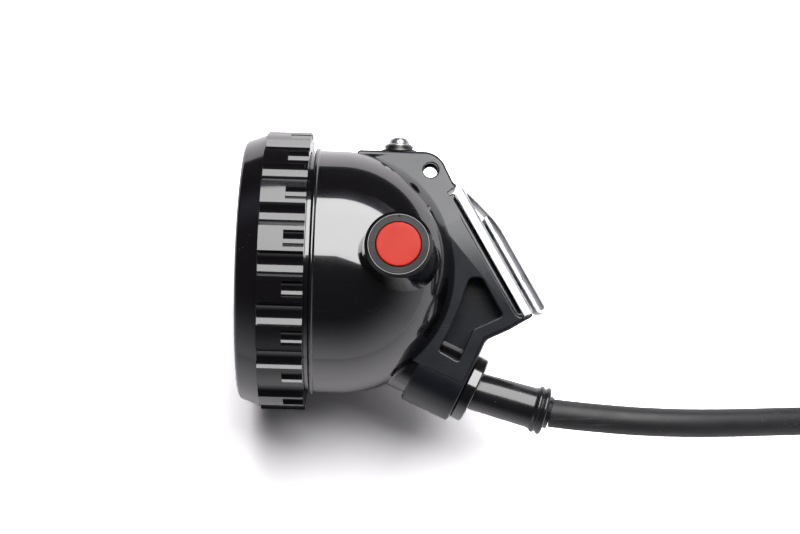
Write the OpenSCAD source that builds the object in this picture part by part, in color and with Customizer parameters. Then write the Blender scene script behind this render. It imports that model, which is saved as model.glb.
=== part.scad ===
// Corded cap lamp headpiece: screw-on bezel, domed housing with a side push button,
// rear bracket with a sprung belt or helmet hook, and a sheathed cable with a locking plug.
// Lamp frame: +X runs back along the lamp axis from the centre of the dome, +Y runs towards the
// bracket screw and +Z runs out through the button side. lay() moves that frame onto the table.

/* [Bezel] */
// Amount by which the grip pads stand out beyond the dome's radius
bezel_overhang = 4.9; // [4.2:0.1:7]
// Amount by which the plain front band is smaller in diameter
front_step = 2; // [0.5:0.25:3]
// Length of the grip band from the rear edge
grip_len = 12.1; // [9:0.1:12.5]
// Radius of the rounded front edge
front_round = 4.5; // [2:0.25:5]
// Thickness of the front lip over the lens
lip_t = 3.8; // [2.6:0.1:5]
// Width of the front lip over the edge of the lens
lip_w = 3.6; // [2:0.1:6]
// Number of grip grooves around the rim
groove_count = 18; // [12:1:20]
// Width of each grip groove
groove_w = 6.8; // [4:0.2:7.2]
// Depth of each grip groove
groove_depth = 2.2; // [1:0.1:2.6]
// Width of the notch in the rear end of each grip pad
notch_w = 4.6; // [2:0.2:5]
// Length of the notch in the rear end of each grip pad
notch_len = 5.5; // [3:0.25:7]
// Depth of the notch in each grip pad
notch_depth = 1.3; // [0.6:0.1:2]
// Gap between the rear edge of the bezel and the housing flange
flange_gap = 1.2; // [0.6:0.1:2]

/* [Lens and gasket] */
// Amount by which the lens is smaller in radius than the neck
lens_step = 0.6; // [0.4:0.1:2]
// Thickness of the clear lens
lens_t = 3; // [2:0.1:4]
// Thickness of the lens gasket
gasket_t = 1.5; // [1:0.1:2.5]
// Width of the gasket ring
gasket_w = 2.8; // [1.5:0.1:3.2]

/* [Housing] */
// Outer diameter of the domed housing
dome_d = 68.2; // [60:0.1:78]
// Wall thickness of the dome
wall = 2.6; // [2:0.1:3]
// Length of the straight barrel ahead of the dome centre
barrel_len = 5.9; // [4:0.1:8]
// Height of the thin flange above the barrel
flange_rise = 0.7; // [0.4:0.1:1.5]
// Thickness of the flange
flange_t = 1.4; // [1:0.1:2.5]
// Amount by which the neck, at the root of the thread, is smaller in radius than the dome
neck_step = 0.9; // [0.7:0.1:1.4]
// Wall of the neck behind the lens
neck_wall = 2.2; // [1.8:0.1:2.6]
// Length of the threaded neck
neck_len = 10.7; // [9.5:0.1:14]
// Height of the thread on the neck
thread_h = 0.5; // [0.3:0.05:0.7]
// Pitch of the thread
thread_pitch = 3; // [2:0.25:3.5]
// Width of the ledge that carries the reflector
ledge_w = 1.1; // [0.8:0.1:1.6]
// Thickness of that ledge
ledge_t = 2; // [1.5:0.1:3]

/* [Light engine] */
// Gap from the bore of the ledge in to the mouth of the reflector
mouth_step = 1.4; // [1.3:0.1:3]
// Inner diameter of the reflector neck
reflector_neck_d = 12; // [10:0.5:14]
// Thickness of the reflector flange
reflector_flange_t = 1.5; // [1:0.1:2]
// Depth of the reflector behind its flange
reflector_depth = 17.2; // [15:0.2:18]
// Radial thickness of the reflector wall
reflector_wall = 1.6; // [1:0.1:2]
// Distance of each small lamp from the lamp axis
aux_offset = 18.5; // [16:0.5:20]
// Diameter of each small lamp
aux_d = 5; // [3:0.5:6]
// Diameter of the main lamp board
led_board_d = 24; // [20:1:28]
// Thickness of both circuit boards
board_t = 1.6; // [1:0.1:2]
// Diameter of the heat sink
sink_d = 42; // [36:1:46]
// Thickness of the heat sink plate
sink_t = 3; // [2:0.1:4]
// Height of the posts that carry the driver board
post_h = 3.9; // [3:0.1:5]
// Diameter of the driver board
driver_d = 34; // [30:1:36]

/* [Push button] */
// Distance of the button axis behind the dome centre
button_x = 16.5; // [15:0.25:18]
// Roll of the button about the lamp axis towards the bracket screw
button_roll = 8.75; // [0:0.25:14]
// Height of the rim of the button boss above the dome's radius
boss_rise = 5.4; // [4.5:0.1:7]
// Outer diameter of the button boss at its rim
boss_d = 18; // [17.4:0.1:20]
// Gain in the boss radius for each millimetre down the boss
boss_draft = 0.11; // [0:0.01:0.14]
// Diameter of the red cap
cap_d = 12; // [11:0.1:12.4]
// Height of the cap above the boss rim
cap_proud = 0.2; // [0:0.1:1]
// Travel of the cap
button_travel = 1.8; // [1:0.1:2]
// Outer diameter of the retaining ring around the cap
button_ring_d = 15.9; // [15:0.1:16.2]
// Height of the retaining ring
button_ring_h = 3.3; // [2.6:0.1:3.6]
// Bore of the boss below the retaining ring
boss_bore_d = 14.5; // [14.1:0.1:14.8]
// Depth from the retaining ring's seat to the switch shoulder
switch_seat = 5.2; // [5:0.1:5.6]
// Diameter of the switch barrel
switch_d = 11; // [9:0.5:12]
// Length of the switch barrel behind its flange
switch_len = 7; // [5:0.25:8]

/* [Rear bracket] */
// Width of the bracket across the lamp
bracket_w = 22; // [18.5:0.5:24]
// Height of the bracket's flat top above the dome radius
bracket_rise = 0.25; // [0.2:0.05:1.5]
// Distance from the dome centre to the front tip of the bracket
bracket_tip_x = 4.1; // [2:0.1:8]
// Angle of the sloping back below the lamp axis
slope_deg = 59; // [56:0.5:62]
// Height of the hook seat above the dome radius
seat_rise = 4.5; // [4:0.1:6]
// Height of the shoulder above the hook seat
shoulder_rise = 1.8; // [1:0.1:3]
// Distance down the slope from the dome centre to the end of the hook seat
seat_end = 36.5; // [35.5:0.1:37.5]
// Thickness of the lip below the hook seat
seat_lip_t = 1; // [0.8:0.1:2]
// Diameter of the cross hole for a security pin
lock_hole_d = 4.2; // [3:0.1:4.4]
// Distance of the screw behind the dome centre
screw_x = 15.8; // [14:0.1:17]
// Diameter of the bracket screw
screw_d = 4; // [3:0.1:4.2]
// Distance of the cross hole behind the centre of the bracket's rounded top corner
lock_hole_back = 2.3; // [1.6:0.1:2.6]
// Height of the cross hole above that centre
lock_hole_up = 1.6; // [1:0.1:2]
// Thickness of the web between the two side pockets
pocket_web = 4; // [2:0.5:8]
// Thickness of the bracket wall between the pockets and the hook seat
pocket_wall = 5; // [4.6:0.1:6]

/* [Hook] */
// Sheet thickness of the hook
sheet_t = 1; // [0.8:0.05:1.2]
// Height of the hook's channel above its seat
channel_h = 2.9; // [2.4:0.1:4]
// Width of the channel
channel_w = 21; // [18.4:0.2:21.6]
// Width of the sprung tongue
tongue_w = 18; // [14:0.5:18.2]
// Gap between the channel and the fixed leaf of the tongue
leaf_gap = 0.8; // [0.4:0.1:1.2]
// Clear gap inside the bend of the tongue
slot_gap = 1.4; // [1.2:0.1:2.6]
// Diameter of the rivet shanks
rivet_d = 3; // [2:0.1:3.4]

/* [Cable gland] */
// Angle of the gland below the lamp axis
gland_deg = 24.4; // [22:0.2:27]
// Distance of the gland axis from the dome centre
gland_drop = 13.25; // [12:0.25:14]
// Length of the spout beyond the dome radius
spout_len = 11.4; // [10.5:0.1:13]
// Outer diameter of the spout
spout_d = 18.2; // [18:0.1:18.6]
// Bore of the spout
spout_bore_d = 14.6; // [14.2:0.1:14.8]
// Wall of the bracket sleeve around the spout
sleeve_wall = 1.75; // [1.2:0.05:2.5]
// Length of the bracket sleeve
sleeve_len = 14.3; // [13:0.1:15]
// Diameter of the gland nut
nut_d = 18.8; // [16.5:0.1:21]
// Thickness of the gland nut's head
nut_t = 3.3; // [2.5:0.1:5]
// Length of the nut's shank in the spout
shank_len = 8; // [6:0.25:9]
// Thickness of the rubber bush
bush_t = 3.5; // [2.5:0.1:4]
// Angle of the strain relief below the lamp axis
boot_deg = 14.7; // [10:0.1:20]
// Length of the strain relief outside the nut
boot_len = 20.8; // [18:0.1:24]
// Diameter of the strain relief at the nut
boot_d = 10.8; // [10.4:0.1:11.2]
// Diameter of the strain relief at its bead
boot_end_d = 11.6; // [10.4:0.1:12.5]
// Diameter of the bead at the end of the strain relief
bead_d = 13.5; // [12:0.1:15]

/* [Cable] */
// Diameter of the cable sheath
cable_d = 8; // [7.6:0.1:8.2]
// Diameter of the insulated leads
lead_d = 1.6; // [1.2:0.1:2]
// Diameter of the coil at the middle of its turns
coil_d = 88; // [80:1:96]

/* [Plug] */
// Outer diameter of the plug's coupling ring
plug_ring_d = 16.4; // [15.6:0.1:18]
// Length of the coupling ring
plug_ring_len = 14; // [10:0.5:16]
// Outer diameter of the plug shell
plug_d = 14.4; // [13.6:0.1:15]
// Length of the plug shell
plug_len = 28; // [26:0.5:30]
// Diameter of the plug's front barrel
plug_nose_d = 12; // [11:0.1:12.4]
// Length of the plug's strain relief
plug_boot_len = 16; // [12:0.5:20]
// Diameter of each contact pin
pin_d = 1.6; // [1:0.1:2]

/* [Hidden] */
$fn = 96;

// Named clearances, measured on the radius or across one face.
thread_fit = 0.08;
running_fit = 0.06;
seat_fit = 0.04;
loose_fit = 0.2;
skin_fit = 0.05;
face_fit = 0.02;

// Stations along the lamp axis.
dome_r = dome_d / 2;
inner_r = dome_r - wall;
bezel_r = dome_r + bezel_overhang;
bezel_d = 2 * bezel_r;
neck_r = dome_r - neck_step;
neck_bore_r = neck_r - neck_wall;
ledge_bore_r = neck_bore_r - ledge_w;
mouth_r = ledge_bore_r - mouth_step;
lens_r = neck_r - lens_step;
window_r = lens_r - lip_w;
flange_x = -(barrel_len + flange_t);
rim_x = flange_x - neck_len;
lens_back_x = rim_x - gasket_t;
lens_front_x = lens_back_x - lens_t;
bezel_front_x = lens_front_x - lip_t;
bezel_rear_x = flange_x - flange_gap;
bezel_len = bezel_rear_x - bezel_front_x;
bezel_bore_r = neck_r + thread_h + thread_fit;
lens_seat_r = lens_r + loose_fit;
band_r = bezel_r - front_step / 2;
gasket_r = lens_r - loose_fit;
reflector_front_x = rim_x + 0.2;
ledge_x = reflector_front_x + reflector_flange_t;
reflector_end_x = ledge_x + reflector_depth;
led_board_x = reflector_end_x + skin_fit;
sink_x = led_board_x + board_t + skin_fit;
driver_x = sink_x + sink_t + post_h + skin_fit;
post_ring_r = driver_d / 2 - 3;
post_r = 2;
parts_gap = 2;
inductor_l = 7;
inductor_w = 8;
inductor_h = 1.8;
capacitor_r = 3;
capacitor_h = 4;
regulator_l = 4;
regulator_w = 5;
regulator_h = 1.2;
led_r = 2.6;

// Stations along the button axis, measured from the lamp axis.
boss_top = dome_r + boss_rise;
button_ring_z = boss_top - button_ring_h;
switch_z = button_ring_z - switch_seat;
switch_flange_t = 1.2;
seal_t = 0.8;
cap_flange_t = 1.2;
cap_top_z = boss_top + cap_proud;
cap_flange_z = button_ring_z - skin_fit - cap_flange_t;
cap_roof_t = 1.5;
spring_wire_d = 0.7;
spring_turns = 4;
spring_foot_z = switch_z + switch_flange_t;
spring_head_z = cap_top_z - cap_roof_t;
plunger_z = spring_head_z - button_travel - skin_fit;
collar_r = boss_bore_d / 2 + 2;
collar_depth = 2.4;
terminal_gap = 4;
terminal_len = 3;

// Stations on the sloping back: t runs down the slope and n stands out from it.
seat_n = dome_r + seat_rise;
shoulder_n = seat_n + shoulder_rise;
channel_n = seat_n + channel_h;
leaf_n = channel_n + leaf_gap;
slot_n = leaf_n + sheet_t;
tongue_n = slot_n + slot_gap;
bend_r = sheet_t + slot_gap / 2;
seat_start = -3.2;
rivet_ts = [11, 27];
leaf_start = 7;
tip_flat_t = 12;
tip_knee_t = 8.5;
tip_low_t = 2.5;
tip_end_t = -1.7;
tip_lean = 0.3;
tip_sheet_t = 0.95;
knee_drop = 0.35;
tip_low_rise = 1.35;
tip_end_rise = 0.15;
rivet_len = 4.2;
rivet_head_h = 0.8;
boss_pad_r = rivet_d / 2 + 1.7;
bracket_top_y = dome_r + bracket_rise;
crown_r = 7;
crown_y = bracket_top_y - crown_r;
crown_x = (shoulder_n - crown_r - crown_y * cos(slope_deg)) / sin(slope_deg);
lock_hole_x = crown_x + lock_hole_back;
lock_hole_y = crown_y + lock_hole_up;

// Corners of each side pocket: distance down the slope and depth below the hook seat.
POCKET = [[19.6, 7.8], [21.1, pocket_wall], [33.2, pocket_wall], [32.4, 14.1], [38.3, 22], [32.9, 25.2],
    [29.8, 20.3], [25.1, 14], [20.9, 9.4]];

// Stations along the gland axis, measured from the seat of the nut.
gland_reach = dome_r + spout_len;
gland_seat = [gland_reach * cos(gland_deg) - gland_drop * sin(gland_deg),
    -gland_reach * sin(gland_deg) - gland_drop * cos(gland_deg)];
sleeve_r = spout_d / 2 + skin_fit + sleeve_wall;
boot_foot = gland_seat + nut_t * [cos(gland_deg), -sin(gland_deg)];
flare_t = 1.5;
bush_z = -shank_len - flare_t - skin_fit - bush_t;
entry_len = 18;
elbow_len = 0.9;
lip_len = 1.2;
bead_len = 2;
cable_r = cable_d / 2;

// Washers and screw on the bracket's flat top.
flat_washer_t = 0.6;
flat_washer_d = 2.5 * screw_d;
spring_washer_t = 0.9;
spring_washer_d = 1.95 * screw_d;
head_d = 2 * screw_d;
head_h = 2.75;
insert_d = 1.5 * screw_d;
insert_len = 6;
insert_top_y = sqrt(pow(dome_r, 2) - pow(screw_x + insert_d / 2, 2)) - 0.3;

// Box of the headpiece, which sets the origin: centred below it, on the table.
hook_reach_x = seat_end * cos(slope_deg) + (leaf_n + bend_r) * sin(slope_deg) + bend_r;
gland_low_y = min(gland_seat[1] - sleeve_r * cos(gland_deg), boot_foot[1] - nut_d / 2 * cos(gland_deg));
shift_x = -(bezel_front_x + hook_reach_x) / 2;
shift_y = -(bezel_r + gland_low_y) / 2;
axis_z = sqrt(pow(bezel_r, 2) - pow(groove_w / 2, 2));

// Route of the cable on the table, from the strain relief to the coil.
ROUTE = [[59, -38.1, 38.7], [72, -38.7, 37.6], [85, -38.7, 35], [98, -38.3, 31.3], [111, -37.7, 27],
    [124, -37.2, 22.4], [137, -36.9, 17.6], [150, -37, 12.8], [162, -37.4, 8.6], [173, -37.8, 5.4],
    [182, -38, 4]];
// Last stretch, from the top of the coil to the plug.
TAIL = [[152, -26, 17], [158.5, -30.7, 20], [170, -34.9, 20.6], [182, -36, 21.4], [190, -35.3, 21.9],
    [197.7, -33.2, 22.4], [208.5, -27, 23.2], [216.6, -17.4, 24], [220.8, -5.6, 24.4], [221.4, 4, 24.5]];
COIL_CENTRE = [182, 10, 0];
PLUG_FOOT = [220.9, 6.9, 24.5];
plug_deg = 100;
cable_exit = boot_foot + (boot_len + lip_len) * [cos(boot_deg), -sin(boot_deg)];

// Colours.
GLOSS_BLACK = [0.03, 0.03, 0.035];
SATIN_BLACK = [0.08, 0.085, 0.1];
RUBBER = [0.06, 0.06, 0.065];
CHROME = [0.8, 0.8, 0.82];
RED = [0.8, 0.08, 0.05];
BRASS = [0.78, 0.62, 0.3];
ALLOY = [0.7, 0.71, 0.73];
BOARD_GREEN = [0.05, 0.3, 0.15];

// ---- Frames ----
module lay() {
    translate([shift_x, shift_y, axis_z]) children();
}

// Local +Z along the lamp axis, from station x.
module along_axis(x) {
    lay() translate([x, 0, 0]) rotate([0, 90, 0]) children();
}

// Local +Z out along the button axis, from the lamp axis.
module at_button() {
    lay() translate([button_x, 0, 0]) rotate([-button_roll, 0, 0]) children();
}

// Local X down the sloping back and Y out from it.
module at_slope() {
    lay() rotate([0, 0, -slope_deg]) children();
}

// Local +Z out along the gland axis, from the seat of the nut.
module at_gland() {
    lay() translate([gland_seat[0], gland_seat[1], 0]) rotate([0, 90, -gland_deg]) children();
}

// Local +Z out along the strain relief, from the face of the nut.
module at_boot() {
    lay() translate([boot_foot[0], boot_foot[1], 0]) rotate([0, 90, -boot_deg]) children();
}

// Local +Z along the bracket screw, towards its head, from the lamp axis.
module at_screw() {
    lay() translate([screw_x, 0, 0]) rotate([-90, 0, 0]) children();
}

// Local +Z along the plug, towards its pins, from height z.
module at_plug(z) {
    translate(PLUG_FOOT) rotate([0, 90, plug_deg]) translate([0, 0, z]) children();
}

// ---- Shared shapes ----
module ring(outer_r, inner_r, height) {
    difference() {
        cylinder(r = outer_r, h = height);
        translate([0, 0, -1]) cylinder(r = inner_r, h = height + 2);
    }
}

function unit(v) = v / norm(v);
function heading(path, i) = unit(path[min(i + 1, len(path) - 1)] - path[max(i - 1, 0)]);
function side_of(t) = unit(cross(t, abs(t[2]) > 0.9 ? [1, 0, 0] : [0, 0, 1]));

// Round tube swept along a path, one ring of corners for each point.
module tube(path, radius, sides) {
    rings = len(path);
    corners = [for (i = [0 : rings - 1])
        let (t = heading(path, i), s = side_of(t), n = cross(s, t))
        for (k = [0 : sides - 1])
            path[i] + radius * (cos(360 * k / sides) * s + sin(360 * k / sides) * n)];
    walls = [for (i = [0 : rings - 2], k = [0 : sides - 1])
        let (a = i * sides + k, b = i * sides + (k + 1) % sides)
        for (face = [[a, b, b + sides], [a, b + sides, a + sides]]) face];
    near_end = [for (k = [sides - 1 : -1 : 0]) k];
    far_end = [for (k = [0 : sides - 1]) (rings - 1) * sides + k];
    polyhedron(points = corners, faces = concat([near_end], walls, [far_end]));
}

// The cable inside the gland and the strain relief, at any radius.
module cable_core(radius) {
    at_gland() translate([0, 0, -entry_len]) cylinder(r = radius, h = entry_len + nut_t);
    at_boot() translate([0, 0, -elbow_len]) cylinder(r = radius, h = elbow_len + boot_len + lip_len);
}

// ---- Front end ----
module bezel_profile() {
    difference() {
        union() {
            translate([0, front_round]) square([band_r, bezel_len - front_round]);
            square([band_r - front_round, bezel_len]);
            translate([band_r - front_round, front_round]) circle(r = front_round);
            translate([0, bezel_len - grip_len]) square([bezel_r, grip_len]);
        }
        translate([0, -1]) square([window_r, bezel_len + 2]);
        translate([0, lip_t - running_fit]) square([lens_seat_r, bezel_len]);
        translate([0, rim_x - bezel_front_x - gasket_t / 2]) square([bezel_bore_r, bezel_len]);
    }
}

module bezel() {
    color(GLOSS_BLACK) along_axis(bezel_front_x) difference() {
        rotate_extrude() bezel_profile();
        for (k = [0 : groove_count - 1]) {
            rotate([0, 0, 360 * k / groove_count])
                translate([bezel_r - groove_depth, -groove_w / 2, bezel_len - grip_len])
                cube([bezel_d, groove_w, grip_len + 1]);
            rotate([0, 0, 360 * (k + 0.5) / groove_count])
                translate([bezel_r - notch_depth, -notch_w / 2, bezel_len - notch_len])
                cube([bezel_d, notch_w, notch_len + 1]);
        }
    }
}

module lens() {
    color([0.85, 0.9, 0.95, 0.4]) along_axis(lens_front_x) cylinder(r = lens_r, h = lens_t - skin_fit);
}

module lens_gasket() {
    color(RUBBER) along_axis(lens_back_x) ring(gasket_r, gasket_r - gasket_w, gasket_t);
}

// ---- Housing ----
module housing_shell() {
    difference() {
        union() {
            lay() intersection() {
                sphere(r = dome_r, $fn = 128);
                translate([0, -dome_r, -dome_r]) cube([dome_d, dome_d, dome_d]);
            }
            along_axis(-barrel_len) cylinder(r = dome_r, h = barrel_len);
            along_axis(flange_x) cylinder(r = dome_r + flange_rise, h = flange_t);
            along_axis(rim_x) cylinder(r = neck_r, h = neck_len);
            for (x = [rim_x + 1 : thread_pitch : bezel_rear_x - 1])
                along_axis(x) cylinder(r = neck_r + thread_h, h = thread_pitch / 2);
            at_button() translate([0, 0, dome_r / 2])
                cylinder(r1 = boss_d / 2 + boss_draft * (boss_top - dome_r / 2), r2 = boss_d / 2,
                    h = boss_top - dome_r / 2);
            at_gland() translate([0, 0, -dome_r]) cylinder(d = spout_d, h = dome_r);
        }
        lay() sphere(r = inner_r, $fn = 128);
        along_axis(ledge_x + ledge_t) cylinder(r = inner_r, h = -(ledge_x + ledge_t));
        along_axis(rim_x - 1) cylinder(r = neck_bore_r, h = ledge_x - rim_x + 1);
        along_axis(rim_x) cylinder(r = ledge_bore_r, h = -rim_x);
    }
}

module housing() {
    color(GLOSS_BLACK) difference() {
        union() {
            housing_shell();
            at_button() translate([0, 0, switch_z - collar_depth])
                cylinder(r = collar_r, h = button_ring_z - switch_z);
            intersection() {
                lay() sphere(r = dome_r, $fn = 128);
                at_screw() translate([0, 0, insert_top_y - insert_len - 1.2])
                    cylinder(r = insert_d / 2 + 2, h = dome_r);
            }
        }
        at_button() translate([0, 0, button_ring_z]) cylinder(r = button_ring_d / 2 + seat_fit, h = dome_d);
        at_button() translate([0, 0, switch_z]) cylinder(d = boss_bore_d, h = dome_d);
        at_button() cylinder(r = switch_d / 2 + running_fit, h = dome_d);
        at_gland() translate([0, 0, bush_z]) cylinder(d = spout_bore_d, h = dome_r);
        at_gland() translate([0, 0, -dome_r]) cylinder(r = cable_r + loose_fit, h = dome_r);
        at_screw() translate([0, 0, insert_top_y - insert_len])
            cylinder(r = insert_d / 2 + seat_fit, h = dome_r);
    }
}

// ---- Light engine ----
reflector_neck_r = reflector_neck_d / 2;
reflector_len = reflector_end_x - reflector_front_x;
bowl_gain = (pow(mouth_r, 2) - pow(reflector_neck_r, 2)) / reflector_len;

// Inner radius of the parabolic bowl at station x.
function reflector_r(x) = sqrt(pow(reflector_neck_r, 2) + bowl_gain * (reflector_end_x - x));

module reflector_profile() {
    steps = 14;
    inner = [for (i = [0 : steps])
        let (x = reflector_front_x + reflector_len * i / steps)
        [reflector_r(x), x - reflector_front_x]];
    outer = [for (i = [steps : -1 : 2]) [inner[i][0] + reflector_wall, inner[i][1]]];
    rim = [[reflector_r(ledge_x) + reflector_wall, reflector_flange_t],
        [neck_bore_r - seat_fit, reflector_flange_t], [neck_bore_r - seat_fit, 0]];
    polygon(concat(inner, outer, rim));
}

aux_x = reflector_end_x - (pow(aux_offset, 2) - pow(reflector_neck_r, 2)) / bowl_gain;

module at_aux() {
    for (turn = [90, 270]) along_axis(aux_x) rotate([0, 0, turn]) translate([aux_offset, 0, 0]) children();
}

module reflector() {
    color(CHROME) difference() {
        along_axis(reflector_front_x) rotate_extrude() reflector_profile();
        at_aux() translate([0, 0, -aux_d * 2]) cylinder(r = aux_d / 2 + seat_fit, h = aux_d * 4);
    }
}

module aux_leds() {
    color([0.95, 0.95, 0.8]) at_aux() {
        translate([0, 0, -aux_d * 0.7]) cylinder(d = aux_d, h = aux_d * 1.4);
        translate([0, 0, -aux_d * 0.7]) sphere(d = aux_d);
    }
}

module led_board() {
    color([0.9, 0.9, 0.88]) along_axis(led_board_x) cylinder(d = led_board_d, h = board_t);
}

module main_led() {
    base_h = 0.8;
    color([0.95, 0.85, 0.4]) along_axis(led_board_x - base_h) {
        translate([-3, -3, 0]) cube([6, 6, base_h]);
        difference() {
            sphere(r = led_r);
            translate([-led_r, -led_r, 0]) cube(2 * led_r);
        }
    }
}

module heat_sink() {
    color(ALLOY) along_axis(sink_x) {
        difference() {
            cylinder(d = sink_d, h = sink_t);
            for (k = [0 : 17]) rotate([0, 0, k * 20]) translate([sink_d / 2 - 3, -1, -1])
                cube([sink_d, 2, sink_t + 2]);
        }
        for (k = [0 : 2]) rotate([0, 0, k * 120]) translate([post_ring_r, 0, 0])
            cylinder(r = post_r, h = sink_t + post_h);
    }
}

module driver_board() {
    color(BOARD_GREEN) along_axis(driver_x) {
        cylinder(d = driver_d, h = board_t);
        translate([-parts_gap - inductor_l, -inductor_w / 2, 0])
            cube([inductor_l, inductor_w, board_t + inductor_h]);
        translate([parts_gap + capacitor_r, parts_gap + capacitor_r, 0])
            cylinder(r = capacitor_r, h = board_t + capacitor_h);
        translate([parts_gap, -2 * parts_gap - regulator_w, 0])
            cube([regulator_l, regulator_w, board_t + regulator_h]);
    }
}

// ---- Push button ----
module switch_body() {
    color([0.12, 0.12, 0.12]) at_button() {
        translate([0, 0, switch_z + skin_fit])
            cylinder(r = boss_bore_d / 2 - seat_fit, h = switch_flange_t - skin_fit);
        translate([0, 0, switch_z - switch_len]) cylinder(d = switch_d, h = switch_len + skin_fit + 0.1);
        translate([0, 0, switch_z]) cylinder(r = 1.5, h = plunger_z - switch_z);
        for (side = [-1, 1]) translate([side * terminal_gap / 2, 0, switch_z - switch_len - terminal_len])
            cylinder(r = 0.6, h = terminal_len + 1);
    }
}

module button_seal() {
    color(RUBBER) at_button() translate([0, 0, spring_foot_z + skin_fit])
        ring(boss_bore_d / 2 - seat_fit, cap_d / 2 - 0.4, seal_t);
}

module button_spring() {
    steps = 12;
    spring_r = cap_d / 2 - 1.4;
    foot_z = spring_foot_z + skin_fit + spring_wire_d / 2;
    height = spring_head_z - skin_fit - spring_wire_d / 2 - foot_z;
    path = [for (i = [0 : spring_turns * steps])
        let (turn = 360 * i / steps, z = foot_z + height * i / (spring_turns * steps))
        [spring_r * cos(turn), spring_r * sin(turn), z]];
    color(CHROME) at_button() tube(path, spring_wire_d / 2, 8);
}

module button_cap() {
    cavity_r = cap_d / 2 - 0.8;
    color(RED) at_button() difference() {
        union() {
            translate([0, 0, cap_flange_z]) cylinder(d = cap_d, h = cap_top_z - cap_flange_z);
            translate([0, 0, cap_flange_z]) cylinder(r = boss_bore_d / 2 - loose_fit, h = cap_flange_t);
        }
        translate([0, 0, cap_flange_z - 1]) cylinder(r = cavity_r, h = spring_head_z - cap_flange_z + 1);
    }
}

module button_ring() {
    color(GLOSS_BLACK) at_button() translate([0, 0, button_ring_z + seat_fit])
        ring(button_ring_d / 2, cap_d / 2 + 2 * running_fit, button_ring_h - seat_fit);
}

// ---- Rear bracket ----
function on_slope(t, n) = [t * cos(slope_deg) + n * sin(slope_deg), -t * sin(slope_deg) + n * cos(slope_deg)];
function on_gland(s, lift) = gland_seat + s * [cos(gland_deg), -sin(gland_deg)]
    + lift * [sin(gland_deg), cos(gland_deg)];

module bracket_outline() {
    steps = 8;
    crown = [for (i = [0 : steps]) let (a = 90 - slope_deg * i / steps)
        [crown_x + crown_r * cos(a), crown_y + crown_r * sin(a)]];
    shoulder = [on_slope(seat_start - 1.6, shoulder_n), on_slope(seat_start - 1.2, shoulder_n - 0.6),
        on_slope(seat_start - 1, seat_n - 1.4), on_slope(seat_start, seat_n - 1.4)];
    seat = [on_slope(seat_start, seat_n), on_slope(seat_end, seat_n), on_slope(seat_end, channel_n - 0.4),
        on_slope(seat_end + seat_lip_t, channel_n - 0.4), on_slope(seat_end + seat_lip_t, seat_n - 5.7)];
    arm = [on_slope(seat_end + 0.3, seat_n - 12.4), on_gland(-0.2, 9.2), on_gland(-0.2, 0),
        on_gland(-sleeve_len - 6, 0)];
    polygon(concat([[bracket_tip_x, 0], [bracket_tip_x, bracket_top_y]], crown, shoulder, seat, arm));
}

module side_pocket() {
    linear_extrude(height = bracket_w) polygon([for (p = POCKET) on_slope(p[0], seat_n - p[1])]);
}

// Places children square to the hook seat at each rivet, local +Z standing out from the seat.
module at_rivets(n) {
    for (t = rivet_ts) at_slope() translate([t, n, 0]) rotate([-90, 0, 0]) children();
}

module rear_bracket() {
    color(SATIN_BLACK) difference() {
        union() {
            lay() translate([0, 0, -bracket_w / 2]) linear_extrude(height = bracket_w) bracket_outline();
            at_gland() translate([0, 0, -sleeve_len - 0.2]) cylinder(r = sleeve_r, h = sleeve_len);
            at_rivets(seat_n - 1) cylinder(r = boss_pad_r, h = 1 + channel_h - sheet_t - skin_fit);
        }
        lay() sphere(r = dome_r + skin_fit, $fn = 128);
        lay() translate([0, 0, pocket_web / 2]) side_pocket();
        lay() translate([0, 0, -pocket_web / 2 - bracket_w]) side_pocket();
        lay() translate([lock_hole_x, lock_hole_y, -bracket_w]) cylinder(d = lock_hole_d, h = 2 * bracket_w);
        at_screw() cylinder(r = screw_d / 2 + loose_fit, h = dome_d);
        at_gland() translate([0, 0, -dome_r]) cylinder(r = spout_d / 2 + skin_fit, h = dome_r + 1);
        at_rivets(seat_n - rivet_len) cylinder(r = rivet_d / 2 + skin_fit, h = rivet_len + channel_h);
    }
}

// ---- Bracket screw ----
module flat_washer() {
    color(CHROME) at_screw() translate([0, 0, bracket_top_y])
        ring(flat_washer_d / 2, screw_d / 2 + loose_fit, flat_washer_t);
}

module spring_washer() {
    color(GLOSS_BLACK) at_screw() translate([0, 0, bracket_top_y + flat_washer_t]) difference() {
        ring(spring_washer_d / 2, screw_d / 2 + loose_fit, spring_washer_t);
        rotate([0, 0, 40]) translate([0, -0.25, -1]) cube([head_d, 0.5, spring_washer_t + 2]);
    }
}

module bracket_screw() {
    head_z = bracket_top_y + flat_washer_t + spring_washer_t;
    tip_z = insert_top_y - insert_len + 0.5;
    recess_w = head_d * 0.56;
    dome_radius = (pow(head_d / 2, 2) + pow(head_h * 0.6, 2)) / (2 * head_h * 0.6);
    color(CHROME) at_screw() difference() {
        union() {
            translate([0, 0, head_z]) cylinder(d = head_d, h = head_h * 0.4);
            intersection() {
                translate([0, 0, head_z + head_h - dome_radius]) sphere(r = dome_radius);
                translate([0, 0, head_z + head_h * 0.4]) cylinder(d = head_d, h = head_h);
            }
            translate([0, 0, tip_z]) cylinder(d = screw_d, h = head_z + 0.5 - tip_z);
        }
        for (turn = [20, 110]) rotate([0, 0, turn]) translate([-recess_w / 2, -0.45, head_z + head_h * 0.5])
            cube([recess_w, 0.9, head_h]);
    }
}

module screw_insert() {
    color(BRASS) at_screw() translate([0, 0, insert_top_y - insert_len])
        ring(insert_d / 2, screw_d / 2 + running_fit, insert_len);
}

// ---- Hook ----
module across(width) {
    at_slope() translate([0, 0, -width / 2]) linear_extrude(height = width) children();
}

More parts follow.
